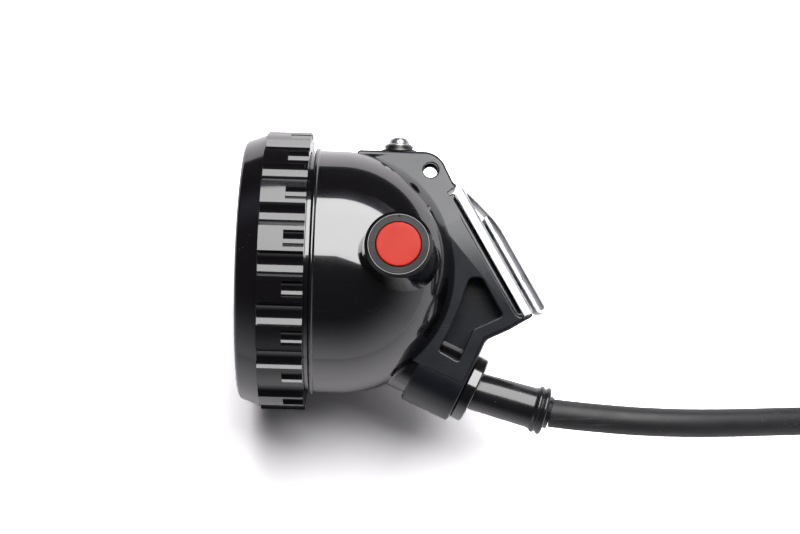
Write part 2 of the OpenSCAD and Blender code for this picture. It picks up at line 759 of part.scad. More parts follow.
module hook_channel() {
    start = seat_start + 0.1;
    length = seat_end - 0.1 - start;
    color(CHROME) difference() {
        union() {
            across(channel_w) translate([start, channel_n - sheet_t]) square([length, sheet_t]);
            for (side = [-1, 1]) at_slope()
                translate([start, seat_n + face_fit, side * (channel_w - sheet_t) / 2 - sheet_t / 2])
                cube([length, channel_h - face_fit, sheet_t]);
        }
        at_rivets(seat_n) cylinder(r = rivet_d / 2 + skin_fit, h = channel_h + 1);
    }
}

module tongue_outline() {
    outer_n = tongue_n + sheet_t;
    translate([leaf_start, leaf_n]) square([seat_end - leaf_start, sheet_t]);
    translate([seat_end, leaf_n + bend_r]) difference() {
        circle(r = bend_r);
        circle(r = bend_r - sheet_t);
        translate([-2 * bend_r, -bend_r - 1]) square([2 * bend_r, 2 * bend_r + 2]);
    }
    outer_line = [[seat_end, outer_n], [tip_flat_t, outer_n], [tip_knee_t, outer_n - knee_drop],
        [tip_low_t, channel_n + tip_low_rise + tip_sheet_t],
        [tip_end_t, channel_n + tip_end_rise + tip_sheet_t]];
    inner_line = [[tip_end_t + tip_lean, channel_n + tip_end_rise],
        [tip_low_t + tip_lean, channel_n + tip_low_rise], [tip_knee_t + tip_lean, tongue_n - knee_drop],
        [tip_flat_t, tongue_n], [seat_end, tongue_n]];
    polygon(concat(outer_line, inner_line));
}

module hook_tongue() {
    color(CHROME) difference() {
        across(tongue_w) tongue_outline();
        at_rivets(seat_n) cylinder(r = rivet_d / 2 + skin_fit, h = slot_n - seat_n + 0.1);
    }
}

module hook_rivets() {
    color(ALLOY) {
        at_rivets(seat_n - rivet_len) cylinder(d = rivet_d, h = slot_n + rivet_head_h - seat_n + rivet_len);
        at_rivets(channel_n + face_fit) cylinder(r = rivet_d / 2 + 1, h = leaf_gap - 2 * face_fit);
        at_rivets(slot_n + face_fit) cylinder(r = rivet_d / 2 + 0.7, h = rivet_head_h - face_fit);
    }
}

// ---- Cable gland ----
module gland_nut() {
    bore_r = boot_d / 2 + 0.4;
    color(GLOSS_BLACK) at_gland() {
        ring(nut_d / 2, bore_r, nut_t);
        translate([0, 0, -shank_len]) ring(spout_bore_d / 2 - running_fit, bore_r, shank_len + 0.1);
    }
}

module gland_bush() {
    color(RUBBER) at_gland() translate([0, 0, bush_z])
        ring(spout_bore_d / 2 - running_fit, cable_r + skin_fit, bush_t);
}

module strain_relief() {
    color(RUBBER) difference() {
        union() {
            at_gland() translate([0, 0, -shank_len - skin_fit - flare_t])
                cylinder(r = spout_bore_d / 2 - running_fit, h = flare_t);
            at_gland() translate([0, 0, -shank_len - skin_fit - 0.1])
                cylinder(r = boot_d / 2 + 0.3, h = shank_len + nut_t + skin_fit + 0.1);
            at_boot() translate([0, 0, -elbow_len]) cylinder(d = boot_d, h = elbow_len + 0.1);
            at_boot() cylinder(d1 = boot_d, d2 = boot_end_d, h = boot_len);
            at_boot() translate([0, 0, boot_len - bead_len]) cylinder(d = bead_d, h = bead_len);
            at_boot() cylinder(r = cable_r + 0.6, h = boot_len + lip_len);
        }
        cable_core(cable_r + skin_fit);
    }
}

module cable_entry() {
    color(RUBBER) cable_core(cable_r);
}

// ---- Leads ----
lead_gap = 0.1;
lead_straight = 1.4;
lead_bow = 4;
supply_pad_y = driver_d / 2 - 5;
switch_pad_z = driver_d / 2 - 3.5;
lead_end_x = driver_x + board_t + lead_gap;

// One lead from the cable's inner end to the driver board, on one side of the lamp's middle.
module supply_lead(side) {
    start = on_gland(-entry_len - lead_gap, 0);
    ahead = on_gland(-entry_len - lead_gap - lead_straight, 0);
    bow = on_gland(-entry_len - lead_bow, lead_bow / 2);
    lay() tube([[start[0], start[1], side * lead_d], [ahead[0], ahead[1], side * lead_d],
        [bow[0], bow[1], side * lead_d * 1.5], [lead_end_x + lead_bow, -supply_pad_y, side * lead_d * 2],
        [lead_end_x + lead_straight, -supply_pad_y, side * lead_d * 2],
        [lead_end_x, -supply_pad_y, side * lead_d * 2]], lead_d / 2, 8);
}

module lead_red() {
    color([0.7, 0.05, 0.05]) supply_lead(1);
}

module lead_black() {
    color(RUBBER) supply_lead(-1);
}

module switch_leads() {
    tip_z = switch_z - switch_len - terminal_len - lead_gap;
    down = -lead_straight * [0, sin(button_roll), cos(button_roll)];
    color([0.85, 0.85, 0.8]) lay() for (side = [-1, 1])
        let (start = [button_x + side * terminal_gap / 2, tip_z * sin(button_roll), tip_z * cos(button_roll)],
            end = [lead_end_x, terminal_gap / 2 + side * terminal_gap / 2, switch_pad_z])
        tube([start, start + down, end + [2 * lead_straight, 0, lead_straight / 2],
            end + [lead_straight, 0, 0], end], lead_d / 2, 8);
}

// ---- Cable and plug ----
module cable_run() {
    start = [cable_exit[0] + shift_x, cable_exit[1] + shift_y, axis_z];
    ahead = [cos(boot_deg), -sin(boot_deg), 0];
    color(RUBBER) {
        tube(concat([start, start + 4 * ahead], ROUTE), cable_r, 12);
        tube(concat(TAIL, [PLUG_FOOT]), cable_r, 12);
    }
}

module cable_coil() {
    color(RUBBER) translate(COIL_CENTRE) ring(coil_d / 2 + cable_d, coil_d / 2 - cable_d, 2 * cable_d);
}

// The plug's stations along its own axis.
nose_len = plug_ring_len;
nose_z = plug_boot_len + plug_len - nose_len;
nose_r = plug_nose_d / 2;
rib_h = 0.6;
rib_z = plug_boot_len + plug_len - 2.6;
insert_r = nose_r - 1.1;

module plug_boot() {
    color(RUBBER) at_plug(face_fit)
        cylinder(r1 = cable_r + 0.9, r2 = plug_d / 2 - 1, h = plug_boot_len - 2 * face_fit);
}

module plug_shell() {
    color(SATIN_BLACK) difference() {
        union() {
            at_plug(plug_boot_len) cylinder(d = plug_d, h = plug_len - nose_len);
            at_plug(plug_boot_len) cylinder(r = nose_r, h = plug_len);
            at_plug(rib_z) cylinder(r = nose_r + rib_h, h = 1.5);
        }
        at_plug(nose_z) cylinder(r = insert_r, h = nose_len + 1);
    }
}

module plug_ring() {
    color(CHROME) difference() {
        at_plug(nose_z + 0.3) cylinder(d = plug_ring_d, h = plug_ring_len);
        at_plug(nose_z) cylinder(r = nose_r + running_fit, h = plug_ring_len + 1);
        at_plug(rib_z - 0.3) cylinder(r = nose_r + rib_h + running_fit, h = plug_ring_len);
        for (k = [0 : 17]) at_plug(nose_z + 2) rotate([0, 0, k * 20]) translate([plug_ring_d / 2 + 0.5, 0, 0])
            cylinder(r = 1, h = plug_ring_len - 4);
    }
}

module at_pins(z) {
    for (k = [0 : 2]) at_plug(z) rotate([0, 0, k * 120]) translate([insert_r * 0.5, 0, 0]) children();
}

module plug_insert() {
    color([0.2, 0.2, 0.22]) difference() {
        at_plug(nose_z + 0.05) cylinder(r = insert_r - seat_fit, h = 6);
        at_pins(nose_z - 1) cylinder(r = pin_d / 2 + seat_fit, h = 10);
    }
}

module plug_pins() {
    color(BRASS) at_pins(nose_z + 0.1) cylinder(d = pin_d, h = nose_len - 1.5);
}

housing();
bezel();
lens();
lens_gasket();
reflector();
led_board();
main_led();
aux_leds();
heat_sink();
driver_board();
switch_body();
button_seal();
button_spring();
button_cap();
button_ring();
switch_leads();
rear_bracket();
bracket_screw();
spring_washer();
flat_washer();
screw_insert();
hook_channel();
hook_tongue();
hook_rivets();
gland_nut();
gland_bush();
strain_relief();
cable_entry();
lead_red();
lead_black();
cable_run();
cable_coil();
plug_boot();
plug_shell();
plug_ring();
plug_insert();
plug_pins();
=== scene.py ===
"""Miner's cap lamp on a pale floor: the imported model, dressed in its visible pieces and finishes."""

import sys

import logging
import math
from dataclasses import dataclass, field
from enum import Enum

import bmesh
import bpy
from mathutils import Matrix, Vector


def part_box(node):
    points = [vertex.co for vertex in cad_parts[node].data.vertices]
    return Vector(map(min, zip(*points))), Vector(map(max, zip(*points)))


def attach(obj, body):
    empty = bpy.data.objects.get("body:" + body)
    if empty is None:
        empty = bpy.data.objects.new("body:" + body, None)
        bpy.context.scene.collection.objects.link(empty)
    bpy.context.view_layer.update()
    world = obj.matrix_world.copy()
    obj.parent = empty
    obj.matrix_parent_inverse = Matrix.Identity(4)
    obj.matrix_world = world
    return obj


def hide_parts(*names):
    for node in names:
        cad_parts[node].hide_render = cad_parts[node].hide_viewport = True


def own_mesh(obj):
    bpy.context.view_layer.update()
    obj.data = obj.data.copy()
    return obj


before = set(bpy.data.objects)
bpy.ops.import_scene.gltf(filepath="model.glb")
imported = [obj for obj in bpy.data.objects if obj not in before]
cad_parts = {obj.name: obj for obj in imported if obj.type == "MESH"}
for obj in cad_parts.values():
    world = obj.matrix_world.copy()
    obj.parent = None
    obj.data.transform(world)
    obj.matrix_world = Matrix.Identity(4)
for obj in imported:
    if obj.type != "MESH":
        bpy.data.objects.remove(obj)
LOG = logging.getLogger("cap_lamp")
MM = 0.001
Point2 = tuple[float, float]
Colour = tuple[float, float, float]


class Body(Enum):
    """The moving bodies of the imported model."""

    LAMP = "lamp"
    LENS_PACK = "lens_pack"
    BEZEL_RING = "bezel_ring"
    BUTTON = "button"
    PLUG_COUPLER = "plug_coupler"


class Slot(Enum):
    """The record's material slots, which each piece names."""

    GLOSS_BLACK = "gloss_black"
    SATIN_BLACK = "satin_black"
    CLEAR_LENS = "clear_lens"
    BLACK_RUBBER = "black_rubber"
    BRIGHT_REFLECTOR = "bright_reflector"
    LED_PHOSPHOR = "led_phosphor"
    LED_EPOXY = "led_epoxy"
    ZINC_STEEL = "zinc_steel"
    RED_PLASTIC = "red_plastic"
    CHROME_PLATE = "chrome_plate"
    DARK_STEEL = "dark_steel"
    BRASS = "brass"
    CABLE_SHEATH = "cable_sheath"


# ---- Node graphs and shared effects ----


class Graph:
    """A node tree, with short calls that add nodes and join them."""

    def __init__(self, tree: bpy.types.NodeTree) -> None:
        """Takes over a node tree.

        Args:
            tree: the tree of a material, a world, a light or a node group.
        """
        self.tree = tree

    def add(self, kind: str, **settings: object) -> bpy.types.Node:
        """Adds a node.

        Args:
            kind: the node's type, without the leading "ShaderNode".
            settings: attributes of the node, set by name.

        Returns:
            The new node.
        """
        node = self.tree.nodes.new("ShaderNode" + kind)
        for name, value in settings.items():
            setattr(node, name, value)
        return node

    def join(self, source: bpy.types.NodeSocket, target: bpy.types.NodeSocket) -> None:
        """Links an output socket to an input socket."""
        self.tree.links.new(source, target)

    def feed(self, target: bpy.types.NodeSocket, value: object) -> None:
        """Links a socket, or sets a plain value, on an input.

        Args:
            target: the input socket.
            value: another socket, a number or a colour.
        """
        if isinstance(value, bpy.types.NodeSocket):
            self.join(value, target)
        else:
            target.default_value = value

    def place(self) -> bpy.types.NodeSocket:
        """Returns the object's own coordinates."""
        return self.add("TexCoord").outputs["Object"]

    def maths(self, operation: str, a: object, b: object = 0.0) -> bpy.types.NodeSocket:
        """Adds a Math node.

        Args:
            operation: the node's operation, such as "MULTIPLY".
            a: the first number or socket.
            b: the second number or socket.

        Returns:
            The result's socket.
        """
        node = self.add("Math", operation=operation)
        self.feed(node.inputs[0], a)
        self.feed(node.inputs[1], b)
        return node.outputs[0]

    def spread(self, value: object, low: float, high: float, to_low: object = 0.0, to_high: object = 1.0) -> bpy.types.NodeSocket:
        """Maps a range of a value to another range, smoothly and held at its ends.

        Args:
            value: the socket to map.
            low: where the range starts.
            high: where the range ends.
            to_low: the result at the start.
            to_high: the result at the end.

        Returns:
            The mapped value's socket.
        """
        node = self.add("MapRange", interpolation_type="SMOOTHSTEP")
        for name, number in zip(("Value", "From Min", "From Max", "To Min", "To Max"), (value, low, high, to_low, to_high)):
            self.feed(node.inputs[name], number)
        return node.outputs["Result"]

    def noise(self, scale: object, detail: float = 2.0, vector: bpy.types.NodeSocket | None = None, rough: float = 0.5) -> bpy.types.NodeSocket:
        """Adds a noise over the object.

        Args:
            scale: waves per metre.
            detail: octaves.
            vector: coordinates, the object's own where none are given.
            rough: how strong the finer octaves are.

        Returns:
            The noise's value socket.
        """
        node = self.add("TexNoise")
        self.join(vector or self.place(), node.inputs["Vector"])
        self.feed(node.inputs["Scale"], scale)
        node.inputs["Detail"].default_value = detail
        node.inputs["Roughness"].default_value = rough
        return node.outputs["Fac"]

    def mix(self, factor: object, a: object, b: object, blend: str = "MIX") -> bpy.types.NodeSocket:
        """Mixes two colours.

        Args:
            factor: how much of the second.
            a: the first colour or socket.
            b: the second colour or socket.
            blend: the way of mixing.

        Returns:
            The mixed colour's socket.
        """
        node = self.add("Mix", data_type="RGBA", blend_type=blend)
        self.feed(node.inputs["Factor"], factor)
        for socket, value in ((node.inputs[6], a), (node.inputs[7], b)):
            self.feed(socket, value if isinstance(value, bpy.types.NodeSocket) else (*value[:3], 1.0))
        return node.outputs[2]

    def stretched(self, scale: tuple[float, float, float], turn: tuple[float, float, float] = (0.0, 0.0, 0.0)) -> bpy.types.NodeSocket:
        """Returns the object's coordinates, turned and stretched."""
        node = self.add("Mapping")
        self.join(self.place(), node.inputs["Vector"])
        node.inputs["Rotation"].default_value = turn
        node.inputs["Scale"].default_value = scale
        return node.outputs["Vector"]

    def bump(self, height: bpy.types.NodeSocket, depth: float, strength: float = 1.0) -> bpy.types.NodeSocket:
        """Turns a height into a normal.

        Args:
            height: the height's socket.
            depth: the height's range, in metres.
            strength: how strongly it shows.

        Returns:
            The normal's socket.
        """
        node = self.add("Bump")
        node.inputs["Strength"].default_value = strength
        node.inputs["Distance"].default_value = depth
        self.join(height, node.inputs["Height"])
        return node.outputs["Normal"]


class Effects:
    """The node groups that the finishes share, each built once."""

    def __init__(self) -> None:
        """Builds every group."""
        self.grain = self._grain()
        self.dust = self._dust()
        self.scuffs = self._scuffs()
        self.edge_wear = self._edge_wear()

    @staticmethod
    def _group(name: str, takes: dict[str, float], gives: tuple[str, ...]) -> tuple[Graph, bpy.types.Node, bpy.types.Node]:
        """Starts a group with its sockets.

        Args:
            name: the group's name.
            takes: its inputs and their usual values.
            gives: its outputs.

        Returns:
            The graph, and the nodes of its inputs and outputs.
        """
        tree = bpy.data.node_groups.new(name, "ShaderNodeTree")
        for label, value in takes.items():
            tree.interface.new_socket(label, in_out="INPUT", socket_type="NodeSocketFloat").default_value = value
        for label in gives:
            tree.interface.new_socket(label, in_out="OUTPUT", socket_type="NodeSocketFloat")
        graph = Graph(tree)
        return graph, tree.nodes.new("NodeGroupInput"), tree.nodes.new("NodeGroupOutput")

    def _grain(self) -> bpy.types.NodeTree:
        """Returns the skin of a moulded or rubber part: fine grain over slow waves."""
        g, takes, gives = self._group("Grain", {"Scale": 4000.0, "Waves": 90.0, "Wave share": 0.4}, ("Height", "Waves"))
        fine = g.noise(takes.outputs["Scale"], 3.0)
        slow = g.noise(takes.outputs["Waves"], 1.0)
        share = takes.outputs["Wave share"]
        height = g.maths("ADD", g.maths("MULTIPLY", fine, g.maths("SUBTRACT", 1.0, share)), g.maths("MULTIPLY", slow, share))
        g.join(height, gives.inputs["Height"])
        g.join(slow, gives.inputs["Waves"])
        return g.tree

    def _dust(self) -> bpy.types.NodeTree:
        """Returns specks and lint that lie on a surface, thicker in patches."""
        g, takes, gives = self._group("Dust", {"Scale": 900.0, "Amount": 0.3}, ("Mask",))
        cells = g.add("TexVoronoi", feature="F1")
        g.join(g.place(), cells.inputs["Vector"])
        g.join(takes.outputs["Scale"], cells.inputs["Scale"])
        speck = g.spread(cells.outputs["Distance"], 0.05, 0.14, 1.0, 0.0)
        patch = g.spread(g.noise(70.0, 3.0), 0.45, 0.7)
        rare = g.spread(g.noise(520.0, 1.0), 0.52, 0.62)
        mask = g.maths("MULTIPLY", g.maths("MULTIPLY", speck, patch), rare)
        g.join(g.maths("MULTIPLY", mask, takes.outputs["Amount"]), gives.inputs["Mask"])
        return g.tree

    def _scuffs(self) -> bpy.types.NodeTree:
        """Returns thin rubbed streaks that cross at two slants."""
        g, takes, gives = self._group("Scuffs", {"Scale": 1.0, "Amount": 0.4}, ("Mask",))
        masks = []
        for turn in ((0.3, 0.5, 0.4), (1.1, -0.6, 2.0)):
            vector = g.stretched((90.0, 1500.0, 1500.0), turn)
            scaled = g.add("VectorMath", operation="SCALE")
            g.join(vector, scaled.inputs[0])
            g.join(takes.outputs["Scale"], scaled.inputs["Scale"])
            masks.append(g.spread(g.noise(1.0, 2.0, scaled.outputs["Vector"], 0.6), 0.62, 0.74))
        where = g.spread(g.noise(60.0, 2.0), 0.42, 0.62)
        mask = g.maths("MULTIPLY", g.maths("MAXIMUM", masks[0], masks[1]), where)
        g.join(g.maths("MULTIPLY", mask, takes.outputs["Amount"]), gives.inputs["Mask"])
        return g.tree

    def _edge_wear(self) -> bpy.types.NodeTree:
        """Returns the polished or rubbed line along outer and inner edges."""
        g, takes, gives = self._group("Edge wear", {"Width": 0.0004, "Amount": 0.5}, ("Mask",))
        soft = g.add("Bevel", samples=4)
        g.join(takes.outputs["Width"], soft.inputs["Radius"])
        plain = g.add("NewGeometry")
        dot = g.add("VectorMath", operation="DOT_PRODUCT")
        g.join(soft.outputs["Normal"], dot.inputs[0])
        g.join(plain.outputs["Normal"], dot.inputs[1])
        edge = g.spread(dot.outputs["Value"], 0.86, 0.985, 1.0, 0.0)
        worn = g.spread(g.noise(420.0, 3.0), 0.35, 0.65)
        g.join(g.maths("MULTIPLY", g.maths("MULTIPLY", edge, worn), takes.outputs["Amount"]), gives.inputs["Mask"])
        return g.tree


# ---- Finishes ----


@dataclass(frozen=True)
class Finish:
    """What every finish has: a name, a colour and how it is rubbed and dusted.

    Attributes:
        name: the material's name.
        colour: the base colour, linear.
        roughness: the clean surface's roughness.
        grain_scale: waves of the fine grain per metre.
        grain_depth: depth of the grain, in metres.
        wave_share: how much of the relief is slow waves.
        dust: how much dust lies on it.
        scuff: how scuffed it is.
        edge: how far the edges are rubbed.
    """

    name: str
    colour: Colour
    roughness: float = 0.3
    grain_scale: float = 4000.0
    grain_depth: float = 0.00001
    wave_share: float = 0.4
    dust: float = 0.3
    scuff: float = 0.2
    edge: float = 0.2

    def start(self) -> tuple[Graph, bpy.types.Material, bpy.types.Node]:
        """Returns a graph, its new material and that material's main shader."""
        material = bpy.data.materials.new(self.name)
        material.use_nodes = True
        material.diffuse_color = (*self.colour, 1.0)
        return Graph(material.node_tree), material, material.node_tree.nodes["Principled BSDF"]

    def group(self, graph: Graph, tree: bpy.types.NodeTree, **values: float) -> bpy.types.Node:
        """Places a shared effect in this finish.

        Args:
            graph: the finish's graph.
            tree: the effect's group.
            values: the group's inputs, with "_" for a space.

        Returns:
            The group's node.
        """
        node = graph.add("Group", node_tree=tree)
        for label, value in values.items():
            node.inputs[label.replace("_", " ")].default_value = value
        return node

    def relief(self, graph: Graph, effects: Effects, shader: bpy.types.Node) -> bpy.types.Node:
        """Gives the shader this finish's grain.

        Args:
            graph: the finish's graph.
            effects: the shared groups.
            shader: the finish's main shader.

        Returns:
            The grain group's node, whose Waves vary the colour.
        """
        grain = self.group(graph, effects.grain, Scale=self.grain_scale, Wave_share=self.wave_share)
        graph.join(graph.bump(grain.outputs["Height"], self.grain_depth), shader.inputs["Normal"])
        return grain

    def build(self, effects: Effects) -> bpy.types.Material:
        """Builds the material; each kind of finish has its own way."""
        raise NotImplementedError


@dataclass(frozen=True)
class Moulded(Finish):
    """A moulded plastic or rubber skin.

    Attributes:
        worn_colour: the colour of rubbed edges and scuffs.
        coat: how much clear gloss lies over it.
        coat_roughness: that gloss's roughness.
        coat_ior: its index of refraction.
        ior: index of refraction of the body.
        sheen: soft grey bloom of a matte rubber.
    """

    worn_colour: Colour = (0.06, 0.06, 0.065)
    coat: float = 0.0
    coat_roughness: float = 0.05
    coat_ior: float = 1.5
    ior: float = 1.5
    sheen: float = 0.0

    def build(self, effects: Effects) -> bpy.types.Material:
        """Builds the material from its grain, edge wear, scuffs and dust.

        Args:
            effects: the shared groups.

        Returns:
            The material.
        """
        g, material, shader = self.start()
        grain = self.relief(g, effects, shader)
        wear = self.group(g, effects.edge_wear, Amount=self.edge)
        scuffs = self.group(g, effects.scuffs, Amount=self.scuff)
        dust = self.group(g, effects.dust, Amount=self.dust)
        deep = tuple(c * 0.8 for c in self.colour)
        base = g.mix(grain.outputs["Waves"], deep, tuple(c * 1.2 for c in self.colour))
        rubbed = g.maths("MAXIMUM", wear.outputs["Mask"], scuffs.outputs["Mask"])
        base = g.mix(rubbed, base, self.worn_colour)
        base = g.mix(dust.outputs["Mask"], base, (0.45, 0.44, 0.42))
        g.join(base, shader.inputs["Base Color"])
        patchy = g.spread(g.noise(140.0, 3.0), 0.3, 0.7, self.roughness * 0.88, self.roughness * 1.12)
        rough = g.maths("ADD", patchy, g.maths("MULTIPLY", rubbed, 0.22))
        rough = g.maths("ADD", rough, g.maths("MULTIPLY", dust.outputs["Mask"], 0.5))
        g.join(rough, shader.inputs["Roughness"])
        shader.inputs["IOR"].default_value = self.ior
        shader.inputs["Coat Weight"].default_value = self.coat
        shader.inputs["Coat Roughness"].default_value = self.coat_roughness
        shader.inputs["Coat IOR"].default_value = self.coat_ior
        shader.inputs["Sheen Weight"].default_value = self.sheen
        shader.inputs["Sheen Roughness"].default_value = 0.5
        return material


@dataclass(frozen=True)
class Metal(Finish):
    """A metal or plated surface.

    Attributes:
        tarnish: the colour of its duller patches.
        brushed: how deep the fine rolling lines are, 0 to 1.
    """

    tarnish: Colour = (0.3, 0.29, 0.28)
    brushed: float = 0.3

    def build(self, effects: Effects) -> bpy.types.Material:
        """Builds the material from rolling lines, dull patches, scratches and dust.

        Args:
            effects: the shared groups.

        Returns:
            The material.
        """
        g, material, shader = self.start()
        grain = self.relief(g, effects, shader)
        scuffs = self.group(g, effects.scuffs, Scale=1.6, Amount=self.scuff)
        wear = self.group(g, effects.edge_wear, Amount=self.edge)
        dust = self.group(g, effects.dust, Amount=self.dust)
        lines = g.noise(1.0, 2.0, g.stretched((40.0, 2600.0, 2600.0), (0.0, 0.0, -1.03)))
        dull = g.spread(g.maths("ADD", g.maths("MULTIPLY", grain.outputs["Waves"], 0.6), g.maths("MULTIPLY", lines, 0.4)), 0.35, 0.75)
        base = g.mix(g.maths("MULTIPLY", dull, 0.45), self.colour, self.tarnish)
        base = g.mix(g.maths("MULTIPLY", scuffs.outputs["Mask"], 0.5), base, tuple(c * 0.6 for c in self.colour))
        base = g.mix(g.maths("MULTIPLY", wear.outputs["Mask"], 0.5), base, self.tarnish)
        g.join(base, shader.inputs["Base Color"])
        metal = g.maths("SUBTRACT", 1.0, g.maths("MULTIPLY", dust.outputs["Mask"], 0.8))
        g.join(metal, shader.inputs["Metallic"])
        rough = g.maths("ADD", self.roughness, g.maths("MULTIPLY", lines, self.roughness * self.brushed))
        rough = g.maths("ADD", rough, g.maths("MULTIPLY", dull, 0.06))
        rough = g.maths("ADD", rough, g.maths("MULTIPLY", scuffs.outputs["Mask"], 0.2))
        g.join(rough, shader.inputs["Roughness"])
        return material


@dataclass(frozen=True)
class Clear(Finish):
    """A clear moulding, such as the lens or a small lamp's dome.

    Attributes:
        ior: index of refraction.
    """

    ior: float = 1.55

    def build(self, effects: Effects) -> bpy.types.Material:
        """Builds the material, clear with faint smears and dust.

        Args:
            effects: the shared groups.

        Returns:
            The material.
        """
        g, material, shader = self.start()
        self.relief(g, effects, shader)
        dust = self.group(g, effects.dust, Amount=self.dust)
        scuffs = self.group(g, effects.scuffs, Amount=self.scuff)
        g.join(g.mix(dust.outputs["Mask"], self.colour, (0.6, 0.6, 0.58)), shader.inputs["Base Color"])
        rough = g.maths("ADD", self.roughness, g.maths("MULTIPLY", scuffs.outputs["Mask"], 0.12))
        g.join(g.maths("ADD", rough, g.maths("MULTIPLY", dust.outputs["Mask"], 0.4)), shader.inputs["Roughness"])
        shader.inputs["IOR"].default_value = self.ior
        shader.inputs["Transmission Weight"].default_value = 1.0
        return material


@dataclass(frozen=True)
class Board(Finish):
    """A printed circuit: solder mask over tracks, with bare pads.

    Attributes:
        track: the colour of the mask over copper.
        pad: the colour of bare tinned pads.
        pitch: tracks per metre.
    """

    track: Colour = (0.05, 0.2, 0.07)
    pad: Colour = (0.7, 0.68, 0.62)
    pitch: float = 320.0

    def build(self, effects: Effects) -> bpy.types.Material:
        """Builds the material from stepped tracks and round pads.

        Args:
            effects: the shared groups.

        Returns:
            The material.
        """
        g, material, shader = self.start()
        self.relief(g, effects, shader)
        cells = g.add("TexVoronoi", feature="DISTANCE_TO_EDGE", distance="EUCLIDEAN")
        g.join(g.place(), cells.inputs["Vector"])
        cells.inputs["Scale"].default_value = self.pitch
        track = g.spread(cells.outputs["Distance"], 0.08, 0.12, 1.0, 0.0)
        dots = g.add("TexVoronoi", feature="F1")
        g.join(g.place(), dots.inputs["Vector"])
        dots.inputs["Scale"].default_value = self.pitch * 0.8
        pad = g.spread(dots.outputs["Distance"], 0.16, 0.2, 1.0, 0.0)
        dust = self.group(g, effects.dust, Amount=self.dust)
        base = g.mix(pad, g.mix(track, self.colour, self.track), self.pad)
        g.join(g.mix(dust.outputs["Mask"], base, (0.5, 0.5, 0.48)), shader.inputs["Base Color"])
        g.join(g.maths("MULTIPLY", pad, 0.9), shader.inputs["Metallic"])
        g.join(g.spread(track, 0.0, 1.0, self.roughness, self.roughness * 0.8), shader.inputs["Roughness"])
        return material


